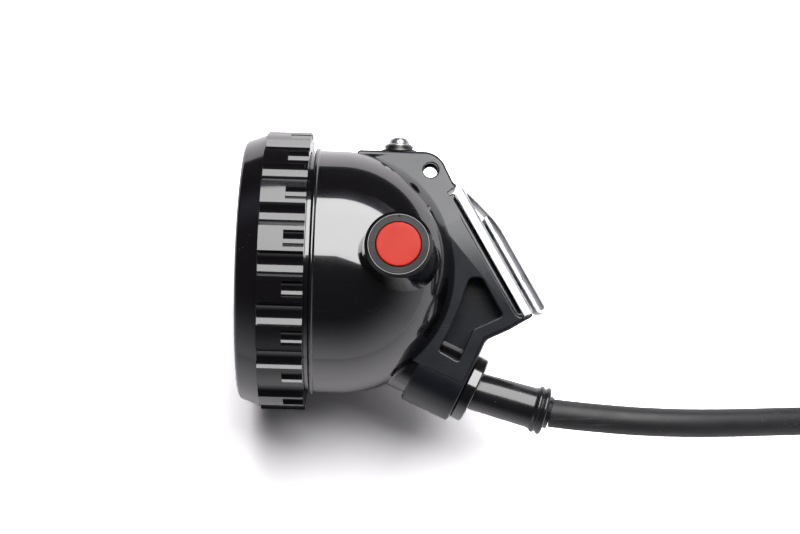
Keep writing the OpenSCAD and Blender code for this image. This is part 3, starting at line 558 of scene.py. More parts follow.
class Palette:
    """Every finish of the lamp, made into a material the first time it is asked for."""

    GLOSS = Moulded(
        "gloss black moulding", (0.005, 0.0045, 0.0055), 0.16, 2600.0, 0.0000035, 0.8, 0.35, 0.10, 0.12,
        coat=1.0, coat_roughness=0.035, coat_ior=1.8,
    )
    BEZEL = Moulded(
        "bezel black moulding", (0.006, 0.005, 0.0065), 0.17, 3000.0, 0.000004, 0.6, 0.4, 0.14, 0.25,
        coat=1.0, coat_roughness=0.07, coat_ior=1.62, ior=1.3,
    )
    SATIN = Moulded(
        "satin black moulding", (0.010, 0.012, 0.017), 0.32, 5200.0, 0.000007, 0.25, 0.4, 0.22, 0.45,
        worn_colour=(0.06, 0.07, 0.09), coat=0.55, coat_roughness=0.15, coat_ior=1.7, ior=1.35,
    )
    RUBBER = Moulded(
        "black rubber", (0.010, 0.010, 0.012), 0.25, 6500.0, 0.000007, 0.2, 0.5, 0.25, 0.2,
        worn_colour=(0.05, 0.05, 0.055), coat=0.8, coat_roughness=0.1, sheen=0.03,
    )
    RING = Moulded(
        "ring black moulding", (0.010, 0.010, 0.012), 0.42, 4200.0, 0.00001, 0.3, 0.3, 0.2, 0.3, ior=1.4,
    )
    SHEATH = Moulded(
        "cable sheath", (0.022, 0.022, 0.024), 0.46, 5000.0, 0.00002, 0.3, 0.8, 0.55, 0.1,
        worn_colour=(0.10, 0.10, 0.105), sheen=0.12,
    )
    RED = Moulded(
        "red button plastic", (0.66, 0.028, 0.011), 0.42, 5200.0, 0.00001, 0.3, 0.3, 0.15, 0.2,
        worn_colour=(0.75, 0.12, 0.07), ior=1.33,
    )
    DARK_PLASTIC = Moulded("dark moulded plastic", (0.03, 0.03, 0.034), 0.42, 4200.0, 0.00001, 0.3, 0.3, 0.2, 0.3)
    RED_WIRE = Moulded("red insulation", (0.5, 0.02, 0.02), 0.4, 5000.0, 0.000008, 0.3, 0.2, 0.2, 0.1)
    BLACK_WIRE = Moulded("black insulation", (0.012, 0.012, 0.013), 0.4, 5000.0, 0.000008, 0.3, 0.2, 0.2, 0.1)
    WHITE_WIRE = Moulded("white insulation", (0.72, 0.71, 0.68), 0.4, 5000.0, 0.000008, 0.3, 0.2, 0.2, 0.1)
    PHOSPHOR = Moulded(
        "phosphor dome", (0.82, 0.62, 0.08), 0.25, 5200.0, 0.00001, 0.3, 0.0, 0.0, 0.0, coat=0.8,
    )
    CHROME = Metal(
        "bright chrome plate", (0.95, 0.96, 0.98), 0.36, 900.0, 0.000012, 0.5, 0.15, 0.35, 0.3,
        tarnish=(0.74, 0.75, 0.78), brushed=0.3,
    )
    REFLECTOR = Metal(
        "vacuum metallised bowl", (0.90, 0.90, 0.91), 0.035, 900.0, 0.000004, 0.8, 0.1, 0.0, 0.0,
        tarnish=(0.82, 0.82, 0.83), brushed=0.1,
    )
    ZINC = Metal(
        "zinc plated steel", (0.66, 0.67, 0.68), 0.24, 2400.0, 0.000012, 0.4, 0.2, 0.3, 0.3, brushed=0.3,
    )
    DARK_STEEL = Metal(
        "dark spring steel", (0.16, 0.155, 0.15), 0.28, 2400.0, 0.000012, 0.4, 0.2, 0.3, 0.4,
        tarnish=(0.08, 0.075, 0.07),
    )
    BRASS = Metal(
        "turned brass", (0.72, 0.50, 0.20), 0.22, 2400.0, 0.000008, 0.4, 0.1, 0.3, 0.2,
        tarnish=(0.42, 0.26, 0.1), brushed=0.5,
    )
    ALUMINIUM = Metal(
        "bare aluminium", (0.72, 0.73, 0.74), 0.30, 2400.0, 0.000015, 0.4, 0.2, 0.3, 0.2,
        tarnish=(0.5, 0.5, 0.51), brushed=0.6,
    )
    LENS = Clear("clear lens", (0.97, 0.98, 0.98), 0.01, 900.0, 0.000001, 0.9, 0.25, 0.3, 0.0, ior=1.58)
    EPOXY = Clear("clear epoxy", (0.96, 0.96, 0.92), 0.03, 900.0, 0.000002, 0.9, 0.0, 0.0, 0.0)
    WHITE_BOARD = Board(
        "white circuit board", (0.74, 0.75, 0.73), 0.35, 4200.0, 0.00001, 0.3, 0.2, 0.0, 0.0,
        track=(0.62, 0.63, 0.62), pad=(0.75, 0.73, 0.66),
    )
    GREEN_BOARD = Board("green circuit board", (0.02, 0.13, 0.05), 0.32, 4200.0, 0.00001, 0.3, 0.2, 0.0, 0.0)

    def __init__(self) -> None:
        """Builds the shared effects."""
        self.effects = Effects()
        self.made: dict[str, bpy.types.Material] = {}

    def material(self, finish: Finish) -> bpy.types.Material:
        """Returns a finish's material.

        Args:
            finish: one of this palette's finishes.

        Returns:
            Its material, built on the first call.
        """
        if finish.name not in self.made:
            self.made[finish.name] = finish.build(self.effects)
        return self.made[finish.name]


# ---- Meshes and where they go ----


@dataclass(frozen=True)
class Datum:
    """The lamp's own frame, and the frames of its sub-assemblies, all in millimetres.

    Attributes:
        bezel_front: how far the bezel's front lies ahead of the dome's centre.
        button_x: the button axis's distance behind the dome's centre.
        button_lean: the button axis's sideways lean, as a sine.
        screw_x: the bracket screw's distance behind the dome's centre.
        slope: how far the back slope leans below the lamp's axis, in degrees.
        gland_seat: where the cable gland's nut seats.
        gland_slope: how far the gland's axis leans below the lamp's axis, in degrees.
        boot_foot: where the strain relief bends.
        boot_slope: the strain relief's lean, in degrees.
    """

    bezel_front: float = 26.3
    button_x: float = 16.5
    button_lean: float = 0.1521
    screw_x: float = 15.8
    slope: float = 59.0
    gland_seat: Point2 = (35.9625, -30.8628)
    gland_slope: float = 24.4
    boot_foot: Point2 = (38.9677, -32.2261)
    boot_slope: float = 14.7

    @staticmethod
    def turned(origin: Vector, x: Vector, y: Vector, z: Vector) -> Matrix:
        """Returns the matrix of a frame from its origin and its three axes."""
        turn = Matrix((x, y, z)).transposed().to_4x4()
        return Matrix.Translation(origin) @ turn

    @property
    def lamp(self) -> Matrix:
        """The dome's centre, from the bezel's own box."""
        low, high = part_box("bezel")
        middle = (low + high) / 2 / MM
        return Matrix.Translation((low.x / MM + self.bezel_front, middle.y, middle.z))

    @property
    def axis(self) -> Matrix:
        """Along the lamp's axis, from the dome's centre backwards."""
        return self.lamp @ self.turned(Vector((0, 0, 0)), Vector((0, 0, -1)), Vector((0, 1, 0)), Vector((1, 0, 0)))

    @property
    def button(self) -> Matrix:
        """Out along the push button's axis."""
        lean = self.button_lean
        up = Vector((0, lean, math.sqrt(1 - lean * lean)))
        along = Vector((1, 0, 0))
        return self.lamp @ self.turned(Vector((self.button_x, 0, 0)), along, up.cross(along), up)

    @property
    def screw(self) -> Matrix:
        """Out along the bracket screw's axis."""
        return self.lamp @ self.turned(Vector((self.screw_x, 0, 0)), Vector((1, 0, 0)), Vector((0, 0, -1)), Vector((0, 1, 0)))

    @property
    def back(self) -> Matrix:
        """Down the back slope, out from it, and across the lamp."""
        c, s = math.cos(math.radians(self.slope)), math.sin(math.radians(self.slope))
        return self.lamp @ self.turned(Vector((0, 0, 0)), Vector((c, -s, 0)), Vector((s, c, 0)), Vector((0, 0, 1)))

    def outward(self, foot: Point2, degrees: float) -> Matrix:
        """Returns a frame at a point beside the axis, along a line that leans below it.

        Args:
            foot: the point, along and above the lamp's axis.
            degrees: the lean.

        Returns:
            The frame, with z along the line and y square to it in the lamp's upright plane.
        """
        c, s = math.cos(math.radians(degrees)), math.sin(math.radians(degrees))
        return self.lamp @ self.turned(Vector((*foot, 0)), Vector((0, 0, -1)), Vector((s, c, 0)), Vector((c, -s, 0)))

    @property
    def gland(self) -> Matrix:
        """Out along the cable gland's axis."""
        return self.outward(self.gland_seat, self.gland_slope)

    @property
    def boot(self) -> Matrix:
        """Out along the strain relief's axis."""
        return self.outward(self.boot_foot, self.boot_slope)

    def from_slope(self, t: float, n: float) -> Point2:
        """Returns the lamp's own coordinates of a point on the back slope."""
        c, s = math.cos(math.radians(self.slope)), math.sin(math.radians(self.slope))
        return (t * c + n * s, -t * s + n * c)

    def from_gland(self, s_along: float, lift: float) -> Point2:
        """Returns the lamp's own coordinates of a point given in the gland's frame."""
        c, s = math.cos(math.radians(self.gland_slope)), math.sin(math.radians(self.gland_slope))
        x, y = self.gland_seat
        return (x + s_along * c + lift * s, y - s_along * s + lift * c)


def arc(centre: Point2, radius: float, start: float, end: float, steps: int) -> list[Point2]:
    """Returns points along an arc.

    Args:
        centre: its centre.
        radius: its radius.
        start: its first angle, in degrees.
        end: its last angle, in degrees.
        steps: how many equal steps it has.

    Returns:
        steps + 1 points.
    """
    angles = [math.radians(start + (end - start) * k / steps) for k in range(steps + 1)]
    return [(centre[0] + radius * math.cos(a), centre[1] + radius * math.sin(a)) for a in angles]


class Solid:
    """A mesh in the making, in millimetres, with the operators that the pieces share."""

    def __init__(self) -> None:
        """Starts empty."""
        self.bm = bmesh.new()

    def lathe(self, profile: list[Point2], steps: int = 96, closed: bool = True) -> "Solid":
        """Adds an outline spun round the local z axis.

        Args:
            profile: points of (radius, height).
            steps: how many steps the turn has.
            closed: whether the last point joins the first.

        Returns:
            This solid.
        """
        verts = [self.bm.verts.new((r, 0.0, z)) for r, z in profile]
        pairs = list(zip(verts, verts[1:])) + ([(verts[-1], verts[0])] if closed else [])
        edges = [self.bm.edges.new(p) for p in pairs if max(p[0].co.x, p[1].co.x) > 1e-6]
        before = set(self.bm.verts) - set(verts)
        bmesh.ops.spin(
            self.bm, geom=verts + edges, cent=(0, 0, 0), axis=(0, 0, 1), angle=math.tau, steps=steps, use_merge=True,
        )
        fresh = [v for v in self.bm.verts if v not in before]
        bmesh.ops.remove_doubles(self.bm, verts=fresh, dist=1e-4)
        return self.outwards()

    def slab(self, outline: list[Point2], low: float, high: float, corner: float = 0.0) -> "Solid":
        """Adds a flat outline given thickness along the local z axis.

        Args:
            outline: points of (x, y).
            low: where the slab starts.
            high: where the slab ends.
            corner: radius that rounds the outline's sharp corners.

        Returns:
            This solid.
        """
        verts = [self.bm.verts.new((x, y, low)) for x, y in outline]
        face = self.bm.faces.new(verts)
        if corner:
            sharp = [v for v in verts if v.link_loops[0].calc_angle() < 2.75 or v.link_loops[0].calc_angle() > 3.54]
            made = bmesh.ops.bevel(
                self.bm, geom=sharp, offset=corner, offset_type="OFFSET", segments=5, profile=0.5, affect="VERTICES",
                material=-1, clamp_overlap=True,
            )
            face = next(f for f in self.bm.faces if f in set(made["faces"]) or set(f.verts) & set(made["verts"]))
        raised = bmesh.ops.extrude_face_region(self.bm, geom=[face], use_keep_orig=True)["geom"]
        bmesh.ops.translate(self.bm, verts=[g for g in raised if isinstance(g, bmesh.types.BMVert)], vec=(0, 0, high - low))
        return self.outwards()

    def coil(self, radius: float, wire: float, low: float, rise: float, turns: int) -> "Solid":
        """Adds a wire wound round the local z axis.

        Args:
            radius: radius at the middle of the wire.
            wire: the wire's own radius.
            low: height at which the middle of the wire starts.
            rise: how far it climbs.
            turns: how many turns it makes.

        Returns:
            This solid.
        """
        end = bmesh.ops.create_circle(self.bm, cap_ends=True, segments=10, radius=wire)["verts"]
        upright = Matrix.Translation((radius, 0, low)) @ Matrix.Rotation(math.radians(90), 4, "X")
        bmesh.ops.transform(self.bm, matrix=upright, verts=end)
        steps = 30 * turns
        whole = self.bm.verts[:] + self.bm.edges[:] + self.bm.faces[:]
        bmesh.ops.spin(
            self.bm, geom=whole, cent=(0, 0, 0), axis=(0, 0, 1), dvec=(0, 0, rise / steps), angle=math.tau * turns,
            steps=steps, use_merge=False,
        )
        return self.outwards()

    def move(self, matrix: Matrix) -> "Solid":
        """Moves everything made so far by a matrix."""
        self.bm.transform(matrix)
        return self

    def copies(self, matrices: list[Matrix]) -> "Solid":
        """Repeats everything made so far at several places, and drops the original."""
        original = list(self.bm.verts) + list(self.bm.edges) + list(self.bm.faces)
        for matrix in matrices:
            made = bmesh.ops.duplicate(self.bm, geom=original)["geom"]
            bmesh.ops.transform(self.bm, matrix=matrix, verts=[g for g in made if isinstance(g, bmesh.types.BMVert)])
        bmesh.ops.delete(self.bm, geom=[g for g in original if isinstance(g, bmesh.types.BMVert)], context="VERTS")
        return self

    def join(self, other: "Solid") -> "Solid":
        """Takes in another solid's shells as they are."""
        mesh = bpy.data.meshes.new("part")
        other.bm.to_mesh(mesh)
        self.bm.from_mesh(mesh)
        bpy.data.meshes.remove(mesh)
        return self

    def combine(self, other: "Solid", operation: str = "DIFFERENCE") -> "Solid":
        """Cuts another solid out of this one, or unites the two.

        Args:
            other: the other solid.
            operation: "DIFFERENCE" or "UNION".

        Returns:
            This solid.
        """
        objects = []
        for solid in (self, other):
            mesh = bpy.data.meshes.new("part")
            solid.bm.to_mesh(mesh)
            objects.append(bpy.data.objects.new("part", mesh))
            bpy.context.scene.collection.objects.link(objects[-1])
        cutter = objects[0].modifiers.new("cut", "BOOLEAN")
        cutter.operation = operation
        cutter.solver = "EXACT"
        cutter.object = objects[1]
        result = bpy.data.meshes.new_from_object(objects[0].evaluated_get(bpy.context.evaluated_depsgraph_get()))
        self.bm.clear()
        self.bm.from_mesh(result)
        for obj in objects:
            mesh = obj.data
            bpy.data.objects.remove(obj)
            bpy.data.meshes.remove(mesh)
        bpy.data.meshes.remove(result)
        bmesh.ops.remove_doubles(self.bm, verts=self.bm.verts, dist=1e-3)
        bmesh.ops.dissolve_degenerate(self.bm, edges=self.bm.edges, dist=1e-3)
        return self

    def soften(self, width: float, sharper_than: float = 30.0, segments: int = 2, keep: object = None, clamp: bool = True) -> "Solid":
        """Rounds the sharp edges.

        Args:
            width: the rounding's width.
            sharper_than: the least angle between faces that is rounded, in degrees.
            segments: faces across the rounding.
            keep: a test of an edge, to round only some.
            clamp: whether the width shrinks where edges crowd.

        Returns:
            This solid.
        """
        limit = math.radians(sharper_than)
        edges = [
            e for e in self.bm.edges
            if len(e.link_faces) == 2 and e.calc_face_angle(0.0) > limit and (keep is None or keep(e))
        ]
        bmesh.ops.bevel(
            self.bm, geom=edges, offset=width, offset_type="OFFSET", segments=segments, profile=0.5, affect="EDGES",
            material=-1, clamp_overlap=clamp, loop_slide=True,
        )
        return self

    def outwards(self) -> "Solid":
        """Turns every face outwards."""
        bmesh.ops.recalc_face_normals(self.bm, faces=self.bm.faces)
        return self


@dataclass
class Workshop:
    """Turns solids into finished pieces of the scene.

    Attributes:
        palette: the finishes.
        datum: the frames.
        made: the pieces, by name.
    """

    palette: Palette
    datum: Datum
    made: dict[str, bpy.types.Object] = field(default_factory=dict)

    def piece(
        self, solid: Solid, name: str, body: Body, finish: Finish, slot: Slot,
        place: Matrix | None = None, stands_for: tuple[str, ...] = (), sharp: float = 35.0,
    ) -> bpy.types.Object:
        """Makes a solid into a piece, in metres, with its place in its mesh.

        Args:
            solid: the solid, in millimetres.
            name: the piece's name.
            body: the body it rides on.
            finish: its finish.
            slot: the record's material slot; not used.
            place: the frame that the solid was made in, in millimetres.
            stands_for: the CAD nodes it replaces.
            sharp: edges sharper than this stay crisp, in degrees.

        Returns:
            The piece.
        """
        solid.move(Matrix.Scale(MM, 4) @ (place or Matrix.Identity(4)))
        mesh = bpy.data.meshes.new(name)
        for face in solid.bm.faces:
            face.smooth = True
        solid.bm.to_mesh(mesh)
        solid.bm.free()
        mesh.set_sharp_from_angle(angle=math.radians(sharp))
        piece = bpy.data.objects.new(name, mesh)
        bpy.context.scene.collection.objects.link(piece)
        weighted = piece.modifiers.new("even shading", "WEIGHTED_NORMAL")
        weighted.keep_sharp = True
        weighted.weight = 60
        self.dress(piece, name, body, finish, stands_for)
        return piece

    def dress(
        self, piece: bpy.types.Object, name: str, body: Body, finish: Finish, stands_for: tuple[str, ...] = (),
    ) -> None:
        """Gives a piece its finish, its body and the nodes it stands for."""
        piece.data.materials.append(self.palette.material(finish))
        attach(piece, body.value)
        if stands_for:
            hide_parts(*stands_for)
        self.made[name] = piece
        LOG.info("%s: rides on %s, %d vertices", name, body.value, len(getattr(piece.data, "vertices", ())))

    def refinish(self, finishes: dict[str, Finish]) -> None:
        """Gives CAD nodes that keep their shape a node-based finish.

        Args:
            finishes: the finish of each node.
        """
        for node, finish in finishes.items():
            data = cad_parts[node].data
            data.materials.clear()
            data.materials.append(self.palette.material(finish))
            LOG.info("%s: keeps its shape, finished as %s", node, finish.name)


# ---- Camera, light and floor ----


@dataclass
class Studio:
    """The camera over the lamp, the soft lights and the pale floor.

    Attributes:
        aim: the point that the camera looks at, beside the axis plane's middle, in millimetres.
        distance: how far the camera is, in millimetres.
        elevation: its height over the floor's plane, in degrees.
        roll: its turn about the view, in degrees.
        lens: focal length for a 36 mm sensor.
        key_size: the large soft light's width and height, in metres.
        key_power: its power, in watts.
        room: the dim room that gloss sees.
        dim: the little light that the room itself gives.
        bounce: the paler room in front of the lamp, which only gloss sees.
        glow: the bluish wall under the soft light.
        floor_colour: the floor's colour.
        floor_lift: a little light of the floor's own, for the camera alone.
        fade: where that light starts to rise and where it reaches white, in metres from the lamp.
        side: the bounce on the hook's side, as a share of the one in front.
        haze: how far the distant floor joins the bounce, for gloss alone.
        haze_from: where that starts and where it is full, in metres from the lamp.
        flag_y: how far behind the lamp the black card stands, in metres.
        flag_top: its height.
    """

    aim: Point2 = (1.1, 2.9)
    distance: float = 580.0
    elevation: float = 87.0
    roll: float = 1.65
    lens: float = 92.6
    key_at: tuple[float, float, float] = (0.4705, 1.641, 2.075)
    key_size: Point2 = (2.1, 2.94)
    key_power: float = 112.0
    room: Colour = (0.035, 0.034, 0.038)
    bounce: Colour = (0.75, 0.73, 0.76)
    glow: Colour = (0.15, 0.165, 0.21)
    floor_colour: Colour = (0.93, 0.905, 0.935)
    floor_lift: float = 0.004
    fade: Point2 = (0.5, 1.6)
    side: float = 0.8
    haze: float = 0.8
    haze_from: Point2 = (0.6, 3.0)
    dim: Colour = (0.009, 0.009, 0.0095)
    flag_y: float = 0.15
    flag_top: float = 0.086

    def camera(self, axis_height: float) -> None:
        """Places the camera.

        Args:
            axis_height: the lamp axis's height over the floor, in millimetres.
        """
        target = Vector((*self.aim, axis_height)) * MM
        e, r = math.radians(self.elevation), math.radians(self.roll)
        back = Vector((0.0, -math.cos(e), math.sin(e)))
        right = Vector((math.cos(r), math.sin(r), 0.0))
        right = (right - back * right.dot(back)).normalized()
        up = back.cross(right)
        data = bpy.data.cameras.new("camera")
        data.lens = self.lens
        data.sensor_width = 36.0
        data.clip_start = 0.01
        data.clip_end = 50.0
        camera = bpy.data.objects.new("camera", data)
        camera.matrix_world = Datum.turned(target + back * self.distance * MM, right, up, back)
        bpy.context.scene.collection.objects.link(camera)
        bpy.context.scene.camera = camera
        LOG.info("camera: %.0f mm away, %.1f degrees up", self.distance, self.elevation)

    def panel(self, name: str, at: tuple[float, float, float], to: tuple[float, float, float], size: Point2, power: float) -> None:
        """Hangs a rectangular soft light.

        Args:
            name: its name.
            at: its centre, in metres.
            to: the point it faces.
            size: its width and height, in metres.
            power: its power, in watts.
        """
        data = bpy.data.lights.new(name, "AREA")
        data.shape = "RECTANGLE"
        data.size, data.size_y = size
        data.energy = power
        light = bpy.data.objects.new(name, data)
        direction = Vector(to) - Vector(at)
        light.matrix_world = Matrix.Translation(at) @ direction.to_track_quat("-Z", "Y").to_matrix().to_4x4()
        bpy.context.scene.collection.objects.link(light)
        LOG.info("%s: %.1f W", name, power)

    def floor(self) -> None:
        """Lays the floor, which the camera sees three times as bright as the lamp does."""
        solid = Solid()
        bmesh.ops.create_grid(solid.bm, x_segments=8, y_segments=8, size=4.0)
        mesh = bpy.data.meshes.new("floor")
        solid.bm.to_mesh(mesh)
        solid.bm.free()
        floor = bpy.data.objects.new("floor", mesh)
        bpy.context.scene.collection.objects.link(floor)
        material = bpy.data.materials.new("pale floor")
        material.use_nodes = True
        g = Graph(material.node_tree)
        for node in list(g.tree.nodes):
            if node.type == "BSDF_PRINCIPLED":
                g.tree.nodes.remove(node)
        paper = g.add("BsdfDiffuse")
        paper.inputs["Color"].default_value = (*self.floor_colour, 1.0)
        lift = g.add("Emission")
        lift.inputs["Color"].default_value = (1.0, 1.0, 1.0, 1.0)
        away = g.add("VectorMath", operation="LENGTH")
        g.join(g.place(), away.inputs[0])
        g.join(g.spread(away.outputs["Value"], *self.fade, self.floor_lift, 1.0), lift.inputs["Strength"])
        shown = lift.outputs[0]
        for _ in range(3):
            total = g.add("AddShader")
            g.join(paper.outputs[0], total.inputs[0])
            g.join(shown, total.inputs[1])
            shown = total.outputs[0]
        path = g.add("LightPath")
        haze, mirrored = g.add("Emission"), g.add("AddShader")
        haze.inputs["Color"].default_value = (*self.bounce, 1.0)
        far = g.spread(away.outputs["Value"], *self.haze_from, 0.0, self.haze)
        g.join(g.maths("MULTIPLY", far, path.outputs["Is Glossy Ray"]), haze.inputs["Strength"])
        g.join(paper.outputs[0], mirrored.inputs[0])
        g.join(haze.outputs[0], mirrored.inputs[1])
        choose = g.add("MixShader")
        g.join(g.maths("MAXIMUM", path.outputs["Is Camera Ray"], path.outputs["Is Transmission Ray"]), choose.inputs[0])
        g.join(mirrored.outputs[0], choose.inputs[1])
        g.join(shown, choose.inputs[2])
        output = next(n for n in g.tree.nodes if n.type == "OUTPUT_MATERIAL")
        g.join(choose.outputs[0], output.inputs["Surface"])
        mesh.materials.append(material)

    def flag(self) -> None:
        """Stands a black card behind the lamp, which only gloss sees, so that the gloss keeps its dark band."""
        solid = Solid()
        bmesh.ops.create_grid(solid.bm, x_segments=1, y_segments=1, size=0.5)
        solid.move(Matrix.Translation((0, self.flag_y, self.flag_top / 2)) @ Matrix.Rotation(math.radians(90), 4, "X") @ Matrix.Diagonal((4.0, self.flag_top, 1.0, 1.0)))
        mesh = bpy.data.meshes.new("flag")
        solid.bm.to_mesh(mesh)
        solid.bm.free()
        flag = bpy.data.objects.new("flag", mesh)
        bpy.context.scene.collection.objects.link(flag)
        material = bpy.data.materials.new("black card")
        material.use_nodes = True
        shader = material.node_tree.nodes["Principled BSDF"]
        shader.inputs["Base Color"].default_value = (0.02, 0.02, 0.022, 1.0)
        shader.inputs["Roughness"].default_value = 0.9
        mesh.materials.append(material)
        flag.visible_camera = flag.visible_diffuse = flag.visible_shadow = flag.visible_transmission = False

    def world(self) -> None:
        """Fills the room dimly, and shows a white backdrop to the camera."""
        world = bpy.data.worlds.new("room")
        world.use_nodes = True
        bpy.context.scene.world = world
        g = Graph(world.node_tree)
        shade = next(n for n in g.tree.nodes if n.type == "BACKGROUND")
        path = g.add("LightPath")
        parts = g.add("SeparateXYZ")
        g.join(g.add("TexCoord").outputs["Generated"], parts.inputs[0])
        low = g.spread(parts.outputs["Z"], -0.1, 0.72, 1.0, 0.0)
        front = g.spread(g.maths("MULTIPLY", parts.outputs["Y"], -1.0), -0.1, 0.8, 0.0, 1.0)
        side = g.spread(parts.outputs["X"], 0.25, 0.9, 0.0, self.side)
        front = g.maths("MULTIPLY", g.maths("MULTIPLY", low, g.maths("MAXIMUM", front, side)), path.outputs["Is Glossy Ray"])
        back = g.maths("MULTIPLY", g.spread(parts.outputs["Y"], 0.3, 0.8), g.spread(parts.outputs["Z"], 0.14, 0.36))
        back = g.maths("MULTIPLY", back, g.spread(parts.outputs["Z"], 0.45, 0.6, 1.0, 0.0))
        room = g.mix(path.outputs["Is Glossy Ray"], self.dim, g.mix(back, g.mix(front, self.room, self.bounce), self.glow))
        seen = g.maths("MAXIMUM", path.outputs["Is Camera Ray"], path.outputs["Is Transmission Ray"])
        g.join(g.mix(seen, room, (1.0, 1.0, 1.0)), shade.inputs["Color"])
        shade.inputs["Strength"].default_value = 1.0

    def build(self) -> None:
        """Sets up the lights, the floor and the way the picture is shown."""
        self.panel("key", self.key_at, (0.0, 0.0, 0.04), self.key_size, self.key_power)
        self.floor()
        self.flag()
        self.world()
        bpy.context.scene.view_settings.view_transform = "Standard"


# ---- Cable and plug ----


@dataclass
class Cable:
    """The rubber cable: along the table, into its coil, over it, and to the plug.

    Attributes:
        diameter: its diameter, in millimetres.
        route: its points from the strain relief to the coil.
        coil_centre: the coil's centre on the table.
        radii: the radii of the coil's outer and inner turns.
        tail: its points from the coil's top to the plug.
        plug_foot: where it enters the plug.
    """

    diameter: float = 8.0
    route: tuple[tuple[float, float, float], ...] = (
        (51.5, -37.55, 38.9), (58, -38.0, 38.75), (65, -38.4, 38.3), (72, -38.65, 37.6), (85, -38.7, 35), (98, -38.3, 31.3),
        (111, -37.7, 27), (124, -37.2, 22.4), (137, -36.9, 17.6), (150, -37, 12.8), (162, -37.4, 8.6), (173, -37.8, 5.4),
    )
    coil_centre: Point2 = (182.0, 10.0)
    radii: Point2 = (48.0, 40.0)
    tail: tuple[tuple[float, float, float], ...] = (
        (152, -26, 17), (158.5, -30.7, 20), (170, -34.9, 20.6), (182, -36, 21.4), (190, -35.3, 21.9),
        (197.7, -33.2, 22.4), (208.5, -27, 23.2), (216.6, -17.4, 24), (220.8, -5.6, 24.4), (221.4, 4, 24.5),
    )
    plug_foot: tuple[float, float, float] = (220.9, 6.9, 24.5)
    relief_len: float = 22.8

    def coil(self) -> list[Vector]:
        """Returns the coil's points: out, in, up, out again, and up to its top."""
        outer, inner = self.radii
        low, high = self.diameter / 2, self.diameter * 1.5
        stations = (
            (-90, outer, low), (180, outer, low), (240, inner, low), (540, inner, low), (600, inner, high),
            (900, inner, high), (960, outer, high), (1260, outer, high), (1305, outer - 0.8, 16.4),
        )
        points = []
        for (a0, r0, z0), (a1, r1, z1) in zip(stations, stations[1:]):
            steps = max(1, round((a1 - a0) / 15))
            for k in range(steps):
                part = k / steps
                ease = part * part * (3 - 2 * part)
                angle = math.radians(a0 + (a1 - a0) * part)
                r, z = r0 + (r1 - r0) * ease, z0 + (z1 - z0) * ease
                x, y = self.coil_centre
                points.append(Vector((x + r * math.cos(angle), y + r * math.sin(angle), z)))
        return points

    def points(self, datum: Datum) -> list[Vector]:
        """Returns the whole centreline, in millimetres.

        Args:
            datum: the lamp's frames.

        Returns:
            The points, from the strain relief's end to the plug.
        """
        boot = datum.boot
        start = boot @ Vector((0, 0, self.relief_len - 0.8))
        return [start, *map(Vector, self.route), *self.coil(), *map(Vector, self.tail), Vector(self.plug_foot)]

    def length(self, points: list[Vector]) -> float:
        """Returns the length along the points, in millimetres."""
        return sum((b - a).length for a, b in zip(points, points[1:]))

    def build(self, shop: Workshop) -> None:
        """Lays the cable as one curve.

        Args:
            shop: the workshop.
        """
        points = self.points(shop.datum)
        curve = bpy.data.curves.new("cable", "CURVE")
        curve.dimensions = "3D"
        curve.bevel_depth = self.diameter / 2 * MM
        curve.bevel_resolution = 6
        curve.resolution_u = 4
        curve.use_fill_caps = True
        spline = curve.splines.new("BEZIER")
        spline.bezier_points.add(len(points) - 1)
        for knot, point in zip(spline.bezier_points, points):
            knot.co = point * MM
            knot.handle_left_type = knot.handle_right_type = "AUTO"
        cable = bpy.data.objects.new("cable", curve)
        bpy.context.scene.collection.objects.link(cable)
        shop.dress(cable, "cable", Body.LAMP, Palette.SHEATH, ("cable_run", "cable_coil"))
        LOG.info("cable: %.0f mm long", self.length(points))

    def declare(self, shop: Workshop, on_it: list[object]) -> None:
        """Args:
            shop: the workshop.
            on_it: the pieces of its plug; not used.
        """
        points = self.points(shop.datum)


